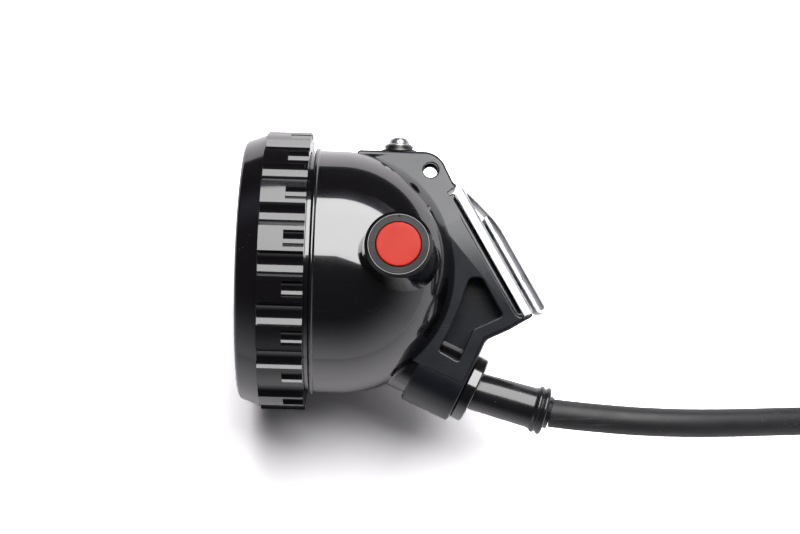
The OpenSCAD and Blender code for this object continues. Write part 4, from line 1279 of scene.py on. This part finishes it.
@dataclass
class Plug:
    """The round connector on the cable's end: boot, shell, knurled ring, insert and pins.

    Attributes:
        foot: where the cable enters it, in millimetres.
        heading: its axis in plan, in degrees.
    """

    foot: tuple[float, float, float] = (220.9, 6.9, 24.5)
    heading: float = 100.0
    boot_len: float = 16.0
    shell_r: float = 7.2
    nose_r: float = 6.0
    nose_z: float = 30.0
    end_z: float = 44.0
    ring_r: float = 8.2
    ring_len: float = 14.0
    flutes: int = 18

    @property
    def place(self) -> Matrix:
        """The plug's frame, with z along its axis."""
        a = math.radians(self.heading)
        along = Vector((math.cos(a), math.sin(a), 0))
        up = Vector((0, 0, 1))
        return Datum.turned(Vector(self.foot), up.cross(along), up, along)

    def build(self, shop: Workshop) -> list[object]:
        """Builds the connector.

        Args:
            shop: the workshop.

        Returns:
            The pieces and nodes that ride on the cable.
        """
        pieces: list[object] = []
        ribs = [(4.95, 0.1)]
        for k in range(5):
            z, r = 2.2 + 2.6 * k, 5.0 + 0.2 * k
            ribs += [(r, z), (r + 0.12, z + 0.3), (r + 0.12, z + 1.5), (r - 0.25, z + 1.8), (r - 0.25, z + 2.3)]
        boot = Solid().lathe([(4.05, 0.1), *ribs, (6.1, 15.9), (4.05, 15.9)], 64).soften(0.2)
        pieces.append(shop.piece(boot, "plug_boot_ribbed", Body.LAMP, Palette.RUBBER, Slot.BLACK_RUBBER, self.place, ("plug_boot",)))
        r, n, z0, z1 = self.shell_r, self.nose_r, self.nose_z, self.end_z
        profile = [
            (0, 16.0), (6.2, 16.0), (6.2, 16.6), (r, 17.0), (r, 19.4), (r - 0.4, 19.7), (r - 0.4, 20.5), (r, 20.8), (r, z0),
            (n, z0), (n, z1 - 2.6), (n + 0.6, z1 - 2.6), (n + 0.6, z1 - 1.1), (n, z1 - 1.1), (n, z1),
            (n - 1.1, z1), (n - 1.1, z0), (0, z0),
        ]
        shell = Solid().lathe(profile, 72, closed=False).soften(0.2)
        pieces.append(shop.piece(shell, "plug_shell_turned", Body.LAMP, Palette.SATIN, Slot.SATIN_BLACK, self.place, ("plug_shell",)))
        pieces.append(self.ring(shop))
        return pieces + ["plug_insert", "plug_pins"]

    def ring(self, shop: Workshop) -> bpy.types.Object:
        """Builds the knurled coupling ring, spun in short sectors whose flutes are pressed in."""
        z0, z1 = self.nose_z + 0.3, self.nose_z + 0.3 + self.ring_len
        bore, wide, rib = self.nose_r + 0.08, self.nose_r + 0.68, self.end_z - 2.9
        profile = [(bore, z0), (self.ring_r, z0), (self.ring_r, z0 + 1.7), (self.ring_r, z1 - 2.3), (self.ring_r, z1), (wide, z1), (wide, rib), (bore, rib)]
        solid = Solid().lathe(profile, self.flutes * 6)
        pitch = math.tau / self.flutes
        for v in solid.bm.verts:
            if math.hypot(v.co.x, v.co.y) > self.ring_r - 0.01 and z0 + 1 < v.co.z < z1 - 1:
                off = abs((math.atan2(v.co.y, v.co.x) + pitch / 2) % pitch - pitch / 2) / pitch
                if off < 0.2:
                    scale = 1 - 0.055 * (1 - (off / 0.2) ** 2)
                    v.co.x, v.co.y = v.co.x * scale, v.co.y * scale
        solid.soften(0.22, 40)
        return shop.piece(
            solid, "plug_ring_knurled", Body.PLUG_COUPLER, Palette.CHROME, Slot.CHROME_PLATE, self.place, ("plug_ring",),
        )


# ---- Front: bezel, lens, reflector and lamps ----


@dataclass
class Bezel:
    """The screw-on bezel: a convex front band, and a grip band of pads parted by round flutes.

    Attributes:
        front: its front plane along the axis.
        band_r: radius of the plain front band.
        pad_r: radius over the pads.
        flute_r: radius to the bottom of the flutes.
        flute_w: width of a flute.
        notch_w: width of the notch in each pad.
        notch_depth: depth of the notch.
        grip_x: where the grip band starts.
        notch_x: where the notches start.
        rear_x: its rear plane.
        pads: how many pads it has.
        edge: rounding of its edges.
    """

    front: float = -26.9
    band_r: float = 38.0
    pad_r: float = 39.0
    flute_r: float = 36.8
    flute_w: float = 6.8
    notch_w: float = 4.6
    notch_depth: float = 1.9
    grip_x: float = -20.6
    notch_x: float = -14.0
    rear_x: float = -8.5
    bore_r: float = 33.78
    core_r: float = 36.0
    seat_r: float = 32.8
    seat_x: float = -18.75
    lip_x: float = -22.56
    window_r: float = 29.0
    pads: int = 18
    edge: float = 0.2

    def core(self) -> Solid:
        """Returns the turned body: bore, lens seat, window lip and convex front band."""
        r, x = self.band_r, self.front
        band = [
            (self.window_r + 0.9, x), (r - 3.5, x), (r - 2.7, x + 0.12), (r - 2.1, x + 0.45), (r - 1.7, x + 1.0), (r + 0.2, self.grip_x),
        ]
        profile = [
            (self.bore_r, self.rear_x - 0.06), (self.bore_r, self.seat_x), (self.seat_r, self.seat_x),
            (self.seat_r, self.lip_x), (self.window_r, self.lip_x), (self.window_r, self.front + 1.6), *band,
            (self.core_r, self.grip_x), (self.core_r, self.rear_x - 0.06),
        ]
        return Solid().lathe(profile, 180).soften(0.3, 50, 3)

    def grip(self) -> Solid:
        """Returns the fluted grip band with a notch at the rear of each pad."""
        pitch = 360.0 / self.pads
        half = math.degrees(math.asin(self.flute_w / 2 / self.pad_r))
        edge_r = self.pad_r * math.cos(math.radians(half))
        radius = ((self.flute_w / 2) ** 2 + (edge_r - self.flute_r) ** 2) / (2 * (edge_r - self.flute_r))
        centre_r = self.flute_r + radius
        open_angle = math.degrees(math.atan2(self.flute_w / 2, centre_r - edge_r))
        outline: list[Point2] = []
        for k in range(self.pads):
            at = k * pitch
            c, s = math.cos(math.radians(at)), math.sin(math.radians(at))
            outline += arc((centre_r * c, centre_r * s), radius, at + 180 + open_angle, at + 180 - open_angle, 12)
            outline += arc((0, 0), self.pad_r, at + half, at + pitch - half, 4)[1:-1]
        band = Solid().slab(outline, self.grip_x - 0.05, self.rear_x)
        band.combine(Solid().lathe([(0, -30), (self.core_r - 1, -30), (self.core_r - 1, 0), (0, 0)], 90, closed=False))
        r = ((self.notch_w / 2) ** 2 + self.notch_depth ** 2) / (2 * self.notch_depth)
        cutter = Solid().lathe([(0, self.notch_x), (r, self.notch_x), (r, 0), (0, 0)], 28, closed=False)
        turns = [Matrix.Rotation(math.radians((k + 0.5) * pitch), 4, "Z") for k in range(self.pads)]
        cutter.copies([turn @ Matrix.Translation((self.pad_r - self.notch_depth + r, 0, 0)) for turn in turns])
        return band.combine(cutter).soften(self.edge, 40, 2)

    def build(self, shop: Workshop) -> None:
        """Builds the bezel.

        Args:
            shop: the workshop.
        """
        solid = self.core().join(self.grip())
        shop.piece(solid, "bezel_moulding", Body.BEZEL_RING, Palette.BEZEL, Slot.GLOSS_BLACK, shop.datum.axis, ("bezel",))


@dataclass
class Optics:
    """The lens, the reflector and the lamps behind it.

    Attributes:
        lens_x: the lens's front and back along the axis.
        lens_r: its radius.
        focal: twice the reflector's focal length.
    """

    lens_x: Point2 = (-22.5, -19.55)
    lens_r: float = 32.6
    mouth_x: float = -17.8
    flange_x: float = -16.3
    flange_r: float = 32.4
    neck_x: float = 0.9
    neck_r: float = 6.0
    mouth_r: float = 28.5
    wall: float = 1.6
    bowl_gain: float = 41.51

    def bowl(self, grow: float, steps: int) -> list[Point2]:
        """Returns the reflector's curve, from mouth to neck, grown outwards by a wall."""
        xs = [self.mouth_x + (self.neck_x - self.mouth_x) * k / steps for k in range(steps + 1)]
        return [(math.sqrt(self.neck_r ** 2 + self.bowl_gain * (self.neck_x - x)) + grow, x) for x in xs]

    def build(self, shop: Workshop) -> None:
        """Builds the optical pieces.

        Args:
            shop: the workshop.
        """
        place = shop.datum.axis
        front, back = self.lens_x
        lens = Solid().lathe([(0, front), (self.lens_r, front), (self.lens_r, back), (0, back)], 128, closed=False)
        lens.soften(0.35, 40)
        shop.piece(lens, "lens_disc", Body.LENS_PACK, Palette.LENS, Slot.CLEAR_LENS, place, ("lens",))
        bowl = self.bowl(0.0, 28)
        outside = [p for p in reversed(self.bowl(self.wall, 28)) if p[1] > self.flange_x]
        profile = [*bowl, (self.neck_r + self.wall, self.neck_x), *outside[1:], (outside[-1][0], self.flange_x), (self.flange_r, self.flange_x), (self.flange_r, self.mouth_x)]
        cup = Solid().lathe(profile, 128)
        holes = Solid()
        for side in (-1, 1):
            holes.join(Solid().lathe([(0, -16), (2.55, -16), (2.55, -3), (0, -3)], 32, closed=False).move(Matrix.Translation((0, 18.5 * side, 0))))
        cup.combine(holes)
        shop.piece(cup, "reflector_bowl", Body.LAMP, Palette.REFLECTOR, Slot.BRIGHT_REFLECTOR, place, ("reflector",))
        self.lamps(shop)

    def lamps(self, shop: Workshop) -> None:
        """Builds the main emitter's package and dome."""
        place = shop.datum.axis
        base = Solid().slab([(-3, -3), (3, -3), (3, 3), (-3, 3)], 0.15, 0.95).soften(0.18, 30)
        shop.piece(base, "emitter_package", Body.LAMP, Palette.WHITE_BOARD, Slot.LED_PHOSPHOR, place)
        dome = Solid().lathe([*arc((0, 0.15), 2.6, 0, -90, 12), ][::1], 48, closed=False)
        shop.piece(dome, "emitter_dome", Body.LAMP, Palette.PHOSPHOR, Slot.LED_PHOSPHOR, place, ("main_led",))


# ---- Housing and push button ----


@dataclass
class Housing:
    """The dome with its threaded neck, flange and button boss.

    Attributes:
        dome_r: the dome's radius.
        boss_top: the boss's height over the lamp's axis.
        boss_r: its radius at the top.
        boss_draft: how much wider it gets per millimetre down.
        bore_r: the button well's radius.
    """

    dome_r: float = 34.1
    wall: float = 2.6
    barrel_x: float = -5.9
    flange_x: float = -7.3
    flange_r: float = 34.8
    neck_r: float = 33.2
    thread_r: float = 33.7
    thread_x: tuple[float, ...] = (-11.0, -14.0, -17.0)
    rim_x: float = -18.0
    boss_top: float = 39.5
    boss_foot: float = 17.05
    boss_r: float = 9.0
    boss_draft: float = 0.11
    bore_r: float = 8.0
    well_z: float = 31.0
    spout_r: float = 9.1

    def profile(self) -> list[Point2]:
        """Returns the shell's section, from the dome's pole forward and back inside."""
        outer = [(r, x) for x, r in arc((0, 0), self.dome_r, 0, 90, 56)]
        threads = []
        for x in self.thread_x:
            threads += [(self.neck_r, x + 0.75), (self.thread_r, x + 0.35), (self.thread_r, x - 0.35), (self.neck_r, x - 0.75)]
        middle, swell = (self.flange_x + self.barrel_x) / 2, (self.barrel_x - self.flange_x) / 2
        bead = [(r, x) for x, r in arc((middle, self.flange_r - swell), swell, 0, 180, 10)]
        inner_r = self.dome_r - self.wall
        inner = [(r, x) for x, r in arc((0, 0), inner_r, 90, 0, 24)]
        return [
            *outer, (self.dome_r, self.barrel_x + 0.1), *bead, (self.neck_r, self.flange_x), *threads, (self.neck_r, self.rim_x), (inner_r - 0.5, self.rim_x), *inner,
        ]

    def build(self, shop: Workshop) -> None:
        """Builds the shell and its boss.

        Args:
            shop: the workshop.
        """
        shell = Solid().lathe(self.profile(), 192, closed=False).soften(0.25, 30)
        shell.move(shop.datum.axis)
        foot_r = self.boss_r + self.boss_draft * (self.boss_top - self.boss_foot)
        boss = Solid().lathe(
            [(0, self.well_z), (self.bore_r, self.well_z), (self.bore_r, self.boss_top), (self.bore_r + 0.12, self.boss_top), (self.boss_r + 0.05, self.boss_top - 0.75),
             (self.boss_r + 0.13, self.boss_top - 1.1), (foot_r, self.boss_foot), (0, self.boss_foot)],
            96, closed=False,
        )
        boss.move(shop.datum.button)
        shell.join(boss)
        spout = Solid().lathe([(0, -26), (self.spout_r, -26), (self.spout_r, -0.4), (0, -0.4)], 72, closed=False)
        shell.join(spout.move(shop.datum.gland))
        shop.piece(shell, "housing_shell", Body.LAMP, Palette.GLOSS, Slot.GLOSS_BLACK, None, ("housing",))


@dataclass
class Button:
    """The red push cap and the black ring round it.

    Attributes:
        cap_r: the cap's radius.
        cap_top: its top along the button's axis.
        roof: the thickness of its top.
        travel: how far the cap goes down; not used.
        spring: the spring's radius, its wire's radius and its foot.
        gap: the clearance between the spring and the cap.
        ring_r: the ring's outer radius.
    """

    cap_r: float = 6.0
    cap_top: float = 39.7
    roof: float = 1.5
    travel: float = 1.8
    spring: tuple[float, float, float] = (4.6, 0.35, 32.25)
    gap: float = 0.05
    flange_r: float = 7.05
    flange_z: Point2 = (34.95, 36.15)
    ring_r: float = 7.95
    ring_bore: float = 6.12
    ring_z: Point2 = (36.24, 39.5)

    def build(self, shop: Workshop) -> None:
        """Builds the cap and the ring.

        Args:
            shop: the workshop.
        """
        low, high = self.flange_z
        cap = Solid().lathe(
            [(0, self.cap_top - 0.12), (self.cap_r - 1.4, self.cap_top), (self.cap_r, self.cap_top), (self.cap_r, high), (self.flange_r, high), (self.flange_r, low),
             (5.2, low), (5.2, self.cap_top - self.roof), (0, self.cap_top - self.roof)], 72, closed=False,
        ).soften(0.4, 40, 3)
        shop.piece(cap, "button_cap_red", Body.BUTTON, Palette.RED, Slot.RED_PLASTIC, shop.datum.button, ("button_cap",))
        low, high = self.ring_z
        rim = [(self.ring_r, high - 0.3), (self.ring_r - 0.12, high), (self.ring_bore + 0.1, high), (self.ring_bore, high - 0.15)]
        ring = Solid().lathe([(self.ring_bore, low), (self.ring_r, low), *rim], 96)
        teeth = Solid().slab([(-0.14, 6.7), (0.14, 6.7), (0.14, 7.3), (-0.14, 7.3)], high - 0.12, high + 1)
        teeth.copies([Matrix.Rotation(math.tau * k / 36, 4, "Z") for k in range(36)])
        notch = Solid().slab([(-0.45, 0), (0, -0.45), (0.45, 0), (0, 0.45)], high - 0.5, high + 1).move(Matrix.Translation((0, 7.45, 0)))
        ring.combine(teeth).combine(notch)
        shop.piece(ring, "button_ring_gloss", Body.LAMP, Palette.RING, Slot.GLOSS_BLACK, shop.datum.button, ("button_ring",))
        self.return_spring(shop)

    def return_spring(self, shop: Workshop) -> None:
        """Builds the spring under the cap.

        Args:
            shop: the workshop.
        """
        place = shop.datum.button
        radius, wire, foot = self.spring
        length = self.cap_top - self.roof - self.gap - foot
        coil = Solid().coil(radius, wire, foot + wire, length - 2 * wire, 4)
        spring = shop.piece(
            coil, "button_spring_coil", Body.LAMP, Palette.ZINC, Slot.ZINC_STEEL, place, ("button_spring",), 180.0,
        )
        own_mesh(spring)


# ---- Bracket, its screw and the helmet hook ----


@dataclass
class Bracket:
    """The rear bracket: crown, pocketed web, hook seat and cable sleeve.

    Attributes:
        half: half its width.
        narrow: half the width of the crown's front.
        crease: a point of the line from which the crown's sides fall.
        fall_len: how far they fall before the narrow front.
        rounding: rounding of its outer edges.
        web: half the thickness left between the pockets.
        seat: the hook seat's distance from the dome's centre.
        pocket: the pocket's corners, down the slope and below the seat.
    """

    half: float = 11.0
    narrow: float = 5.2
    crease: Point2 = (27.0, 12.0)
    fall_len: float = 25.1
    rounding: float = 1.1
    web: float = 2.0
    seat: float = 38.6
    crown: tuple[float, float, float] = (22.532, 27.35, 7.0)
    front_x: float = 4.1
    inner_r: float = 31.6
    lock_hole: tuple[float, float, float] = (24.832, 28.95, 2.1)
    pocket: tuple[Point2, ...] = (
        (19.6, 7.8), (21.1, 5), (33.2, 5), (32.4, 14.1), (38.3, 22), (32.9, 25.2), (29.8, 20.3), (25.1, 14), (20.9, 9.4),
    )

    def outline(self, datum: Datum) -> list[Point2]:
        """Returns the side outline, whose inner edge hides inside the dome.

        Args:
            datum: the lamp's frames.

        Returns:
            The outline's points, along and above the lamp's axis.
        """
        x, y, r = self.crown
        slope = [(-5.4, 39.9), (-4.9, 40.4), (37.5, 41.1), (37.5, 32.9), (36.8, 26.2)]
        return [
            (self.front_x, self.inner_r - 0.3), (self.front_x, y + r), *arc((x, y), r, 90, 31, 10),
            *(datum.from_slope(t, n) for t, n in slope), datum.from_gland(-0.2, 9.2), datum.from_gland(-0.2, 0.0),
            *arc((0, 0), self.inner_r, -49.2, 80.0, 24),
        ]

    def taper(self) -> Solid:
        """Returns the cutter that slopes the crown's upper side down to its narrow front."""
        x, y = self.crease
        fall = Vector((-0.4, 0.917, 0)).normalized()
        section = [(0, self.half), (self.fall_len, self.narrow), (60, self.narrow), (60, self.half + 2), (-0.01, self.half + 2)]
        return Solid().slab(section, -45, 45).move(Datum.turned(Vector((x, y, 0)), fall, Vector((0, 0, 1)), fall.cross(Vector((0, 0, 1)))))

    def outer(self, edge: bmesh.types.BMEdge) -> bool:
        """Tells whether an edge lies on the flat sides and clear of the dome."""
        return all(abs(v.co.z) > self.web - 0.1 and math.hypot(v.co.x, v.co.y) > self.inner_r + 0.6 for v in edge.verts)

    def both_sides(self, solid: Solid, corners: list[Point2], depth: float, corner: float, spare: Solid | None = None) -> None:
        """Cuts the same recess into both flat sides.

        Args:
            solid: the solid to cut.
            corners: the recess's outline.
            depth: half the thickness that it leaves.
            corner: the rounding of its corners.
            spare: what the cutter leaves alone.
        """
        for low, high in ((depth, self.half + 2), (-self.half - 2, -depth)):
            cutter = Solid().slab(corners, low, high, corner)
            if spare:
                cutter.combine(spare)
            solid.combine(cutter)

    def build(self, shop: Workshop) -> None:
        """Builds the bracket.

        Args:
            shop: the workshop.
        """
        datum = shop.datum
        solid = Solid().slab(self.outline(datum), -self.half, self.half)
        mirror = Matrix.Diagonal((1, 1, -1, 1))
        solid.combine(self.taper()).combine(self.taper().move(mirror).outwards())
        solid.soften(2.4, 15, 5, lambda e: self.outer(e) and all(abs(f.normal.z) > 0.7 for f in e.link_faces), False)
        solid.soften(self.rounding, 35, 4, self.outer, False)
        seat = [datum.from_slope(t, n) for t, n in ((-4.4, 46), (-4.4, 39.8), (-4.2, 37.2), (-3.2, 37.2), (-3.2, self.seat), (36.5, self.seat), (36.5, 46))]
        solid.combine(Solid().slab(seat, -13, 13))
        corners = [datum.from_slope(t, self.seat - depth) for t, depth in self.pocket]
        gland = datum.lamp.inverted() @ datum.gland
        ramp = Solid().slab([(self.web, 6.3), (8.2, 5.1), (8.5, 3.8), (8.5, -20), (-8.5, -20), (-8.5, 3.8), (-8.2, 5.1), (-self.web, 6.3)], -20, 5).move(gland)
        self.both_sides(solid, corners, self.web, 0.9, ramp)
        rebate = [datum.from_slope(t, n) for t, n in ((-3.6, 36.9), (35.2, 36.9), (36.4, 38.0), (36.4, 45), (-3.6, 45))]
        self.both_sides(solid, rebate, self.half - 0.6, 0.8)
        x, y, r = self.lock_hole
        hole = Solid().lathe([(0, -12), (r, -12), (r, 12), (0, 12)], 32, closed=False).move(Matrix.Translation((x, y, 0)))
        room = Solid().lathe([(0, -4.6), (r + 1.2, -4.6), (r + 1.2, 4.6), (0, 4.6)], 32, closed=False).move(Matrix.Translation((x, y, 0)))
        solid.combine(hole).combine(room)
        groove = [datum.from_slope(t, n) for t, n in ((-1.8, 37.7), (35.0, 37.7), (35.0, 45), (-1.8, 45))]
        self.both_sides(solid, groove, self.half - 4.4, 0.5)
        solid.soften(0.42, 40, 3, lambda e: e.is_convex and self.outer(e), False)
        sleeve = Solid().lathe([(5.8, -14.5), (10.9, -14.5), (10.9, -0.2), (7.4, -0.2), (5.8, -0.4)], 96).soften(0.6, 40, 3)
        middle = (sum(x for x, _ in corners) / len(corners), sum(y for _, y in corners) / len(corners))
        wider = [(middle[0] + (x - middle[0]) * 1.03, middle[1] + (y - middle[1]) * 1.03) for x, y in corners]
        self.both_sides(sleeve.move(gland), wider, self.web - 0.1, 0.9)
        solid.join(sleeve)
        solid.move(datum.lamp)
        pads = Solid().lathe([(0, 38.0), (3.2, 38.0), (3.2, 40.45), (0, 40.45)], 40, closed=False)
        pads.copies([datum.back @ Matrix.Translation((t, 0, 0)) @ Matrix.Rotation(math.radians(-90), 4, "X") for t in (11, 27)])
        solid.join(pads)
        shop.piece(solid, "bracket_moulding", Body.LAMP, Palette.SATIN, Slot.SATIN_BLACK, None, ("rear_bracket",))
        self.fixings(shop)

    def fixings(self, shop: Workshop) -> None:
        """Builds the screw and its flat washer."""
        place = shop.datum.screw
        head = [(0, 38.6), (1.4, 38.5), (2.3, 38.15), (2.75, 37.5), (2.85, 36.75), (3.5, 36.6), (4.0, 36.3)]
        screw = Solid().lathe([*head, (4.0, 35.85), (2.0, 35.85), (2.0, 28.6), (0, 28.6)], 64, closed=False)
        for turn in (20, 110):
            bar = Solid().slab([(-2.24, -0.45), (2.24, -0.45), (2.24, 0.45), (-2.24, 0.45)], 37.3, 39.5)
            screw.combine(bar.move(Matrix.Rotation(math.radians(turn), 4, "Z")))
        screw.soften(0.15, 35, 2)
        shop.piece(screw, "screw_pan_head", Body.LAMP, Palette.ZINC, Slot.ZINC_STEEL, place, ("bracket_screw",))
        # The flat washer takes the dark steel finish instead of its zinc slot's: partly the washer's own colour, partly
        # painted shade for the dark band under the screw head.
        flat = Solid().lathe([(2.2, 34.35), (5.0, 34.35), (5.0, 34.95), (2.2, 34.95)], 64).soften(0.15)
        shop.piece(flat, "washer_flat", Body.LAMP, Palette.DARK_STEEL, Slot.ZINC_STEEL, place, ("flat_washer",))


@dataclass
class Hook:
    """The helmet hook: a channel with a sprung tongue riveted through it.

    Attributes:
        width: the channel's width.
        run: where the channel starts and ends down the slope.
        tongue_width: the tongue's width.
        rivets: where the rivets are.
    """

    width: float = 21.0
    run: Point2 = (-3.1, 36.4)
    tongue_width: float = 18.0
    rivets: Point2 = (11.0, 27.0)

    def channel(self) -> Solid:
        """Returns the folded channel, made as its section and drawn down the slope."""
        half, top, low = self.width / 2, 41.5, 38.62
        right = arc((half - 1.3, top - 1.3), 1.3, 0, 90, 6)
        inside = arc((half - 1.3, top - 1.3), 0.3, 90, 0, 4)
        section = [
            (half, low), *right, *[(-x, y) for x, y in reversed(right)], (-half, low), (-half + 1, low),
            *[(-x, y) for x, y in reversed(inside)], *inside, (half - 1, low),
        ]
        solid = Solid().slab(section, *self.run)
        turn = Matrix(((0, 0, 1, 0), (0, 1, 0, 0), (-1, 0, 0, 0), (0, 0, 0, 1)))
        return solid.soften(0.16, 50, 2).move(turn)

    def tongue(self) -> Solid:
        """Returns the tongue, bent back over itself, with its tip dipped to the channel."""
        outer = arc((36.5, 44.0), 1.7, -90, 90, 14)
        inner = arc((36.5, 44.0), 0.7, 90, -90, 10)
        outline = [
            (7, 42.3), *outer, (12, 45.7), (8.5, 45.35), (2.5, 43.8), (-1.7, 42.6), (-1.4, 41.65), (2.8, 42.85),
            (8.8, 44.35), (12, 44.7), *inner, (7, 43.3),
        ]
        half = self.tongue_width / 2
        return Solid().slab(outline, -half, half).soften(0.2, 50, 2)

    def build(self, shop: Workshop) -> None:
        """Builds the hook.

        Args:
            shop: the workshop.
        """
        place = shop.datum.back
        shop.piece(self.channel(), "hook_channel_folded", Body.LAMP, Palette.CHROME, Slot.CHROME_PLATE, place, ("hook_channel",))
        shop.piece(self.tongue(), "hook_tongue_sprung", Body.LAMP, Palette.CHROME, Slot.CHROME_PLATE, place, ("hook_tongue",))
        head = [(r, 43.32 + (z - 43.32) * 0.78 / 2.2) for r, z in arc((0, 43.32), 2.2, 90, 0, 8)]
        rivet = Solid().lathe([*head, (1.5, 43.32), (1.5, 42.28), (2.5, 42.28), (2.5, 41.52), (1.5, 41.52), (1.5, 38.7), (0, 38.7)], 40, closed=False)
        rivet.soften(0.12, 50)
        upright = Matrix.Rotation(math.radians(-90), 4, "X")
        rivet.copies([place @ Matrix.Translation((t, 0, 0)) @ upright for t in self.rivets])
        shop.piece(rivet, "hook_rivets_headed", Body.LAMP, Palette.DARK_STEEL, Slot.DARK_STEEL, None, ("hook_rivets",))


# ---- Cable gland and strain relief ----


@dataclass
class Gland:
    """The gland's nut and the strain relief that runs through it.

    Attributes:
        nut_r: the nut's radius.
        nut_len: its height over the seat.
        boot_r: the strain relief's radius at its foot and end.
        boot_len: its length.
    """

    nut_r: float = 9.4
    nut_len: float = 3.3
    bore_r: float = 5.8
    shank_r: float = 7.24
    boot_r: Point2 = (5.4, 5.8)
    boot_len: float = 20.8
    bead_r: float = 6.75
    lip_r: float = 4.6
    hole_r: float = 4.02

    def build(self, shop: Workshop) -> None:
        """Builds the nut and the strain relief.

        Args:
            shop: the workshop.
        """
        nut = Solid().lathe(
            [(self.bore_r, -8), (self.shank_r, -8), (self.shank_r, 0), (self.nut_r, 0), (self.nut_r, self.nut_len), (self.bore_r, self.nut_len)], 96,
        ).soften(0.5, 40, 3)
        shop.piece(nut, "gland_nut_round", Body.LAMP, Palette.GLOSS, Slot.GLOSS_BLACK, shop.datum.gland, ("gland_nut",))
        r0, r1 = self.boot_r
        end = self.boot_len
        beads = [*arc((r1 + 0.1, end - 2.6), 0.75, -80, 80, 6), *arc((r1 + 0.2, end - 0.75), 0.75, -70, 90, 7)]
        profile = [(self.hole_r, -0.5), (r0, -0.5), (r0, 1.0), (r0 + 0.12, 6.0), (r0 + 0.25, 12.0), (r1 - 0.05, end - 4.2), *beads, (self.lip_r, end + 0.1), (self.lip_r, end + 1.2), (self.hole_r, end + 1.2)]
        boot = Solid().lathe(profile, 72).soften(0.15, 45)
        root = Solid().lathe([(self.hole_r, -12), (7.2, -12), (7.2, -8.1), (5.7, -8.1), (5.7, self.nut_len), (self.hole_r, self.nut_len)], 72)
        boot.move(shop.datum.boot)
        boot.join(root.move(shop.datum.gland))
        shop.piece(boot, "strain_relief_boot", Body.LAMP, Palette.RUBBER, Slot.BLACK_RUBBER, None, ("strain_relief",))


NODE_FINISHES: dict[str, Finish] = {
    "lens_gasket": Palette.RUBBER, "led_board": Palette.WHITE_BOARD, "aux_leds": Palette.EPOXY,
    "heat_sink": Palette.ALUMINIUM, "driver_board": Palette.GREEN_BOARD, "switch_body": Palette.DARK_PLASTIC,
    "button_seal": Palette.RUBBER, "switch_leads": Palette.WHITE_WIRE,
    "spring_washer": Palette.DARK_STEEL, "screw_insert": Palette.BRASS, "gland_bush": Palette.RUBBER,
    "cable_entry": Palette.SHEATH, "lead_red": Palette.RED_WIRE, "lead_black": Palette.BLACK_WIRE,
    "plug_insert": Palette.DARK_PLASTIC, "plug_pins": Palette.BRASS,
}


def main() -> None:
    """Builds the scene: camera and cable first, then each sub-assembly."""
    logging.basicConfig(level=logging.INFO, format="%(message)s", stream=sys.stdout)
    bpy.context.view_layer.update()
    shop = Workshop(Palette(), Datum())
    studio = Studio()
    studio.camera(shop.datum.lamp.translation.z)
    cable = Cable()
    cable.build(shop)
    cable.declare(shop, Plug().build(shop))
    Bezel().build(shop)
    Optics().build(shop)
    Housing().build(shop)
    Button().build(shop)
    Bracket().build(shop)
    Hook().build(shop)
    Gland().build(shop)
    shop.refinish(NODE_FINISHES)
    studio.build()


if __name__ == "__main__":
    main()
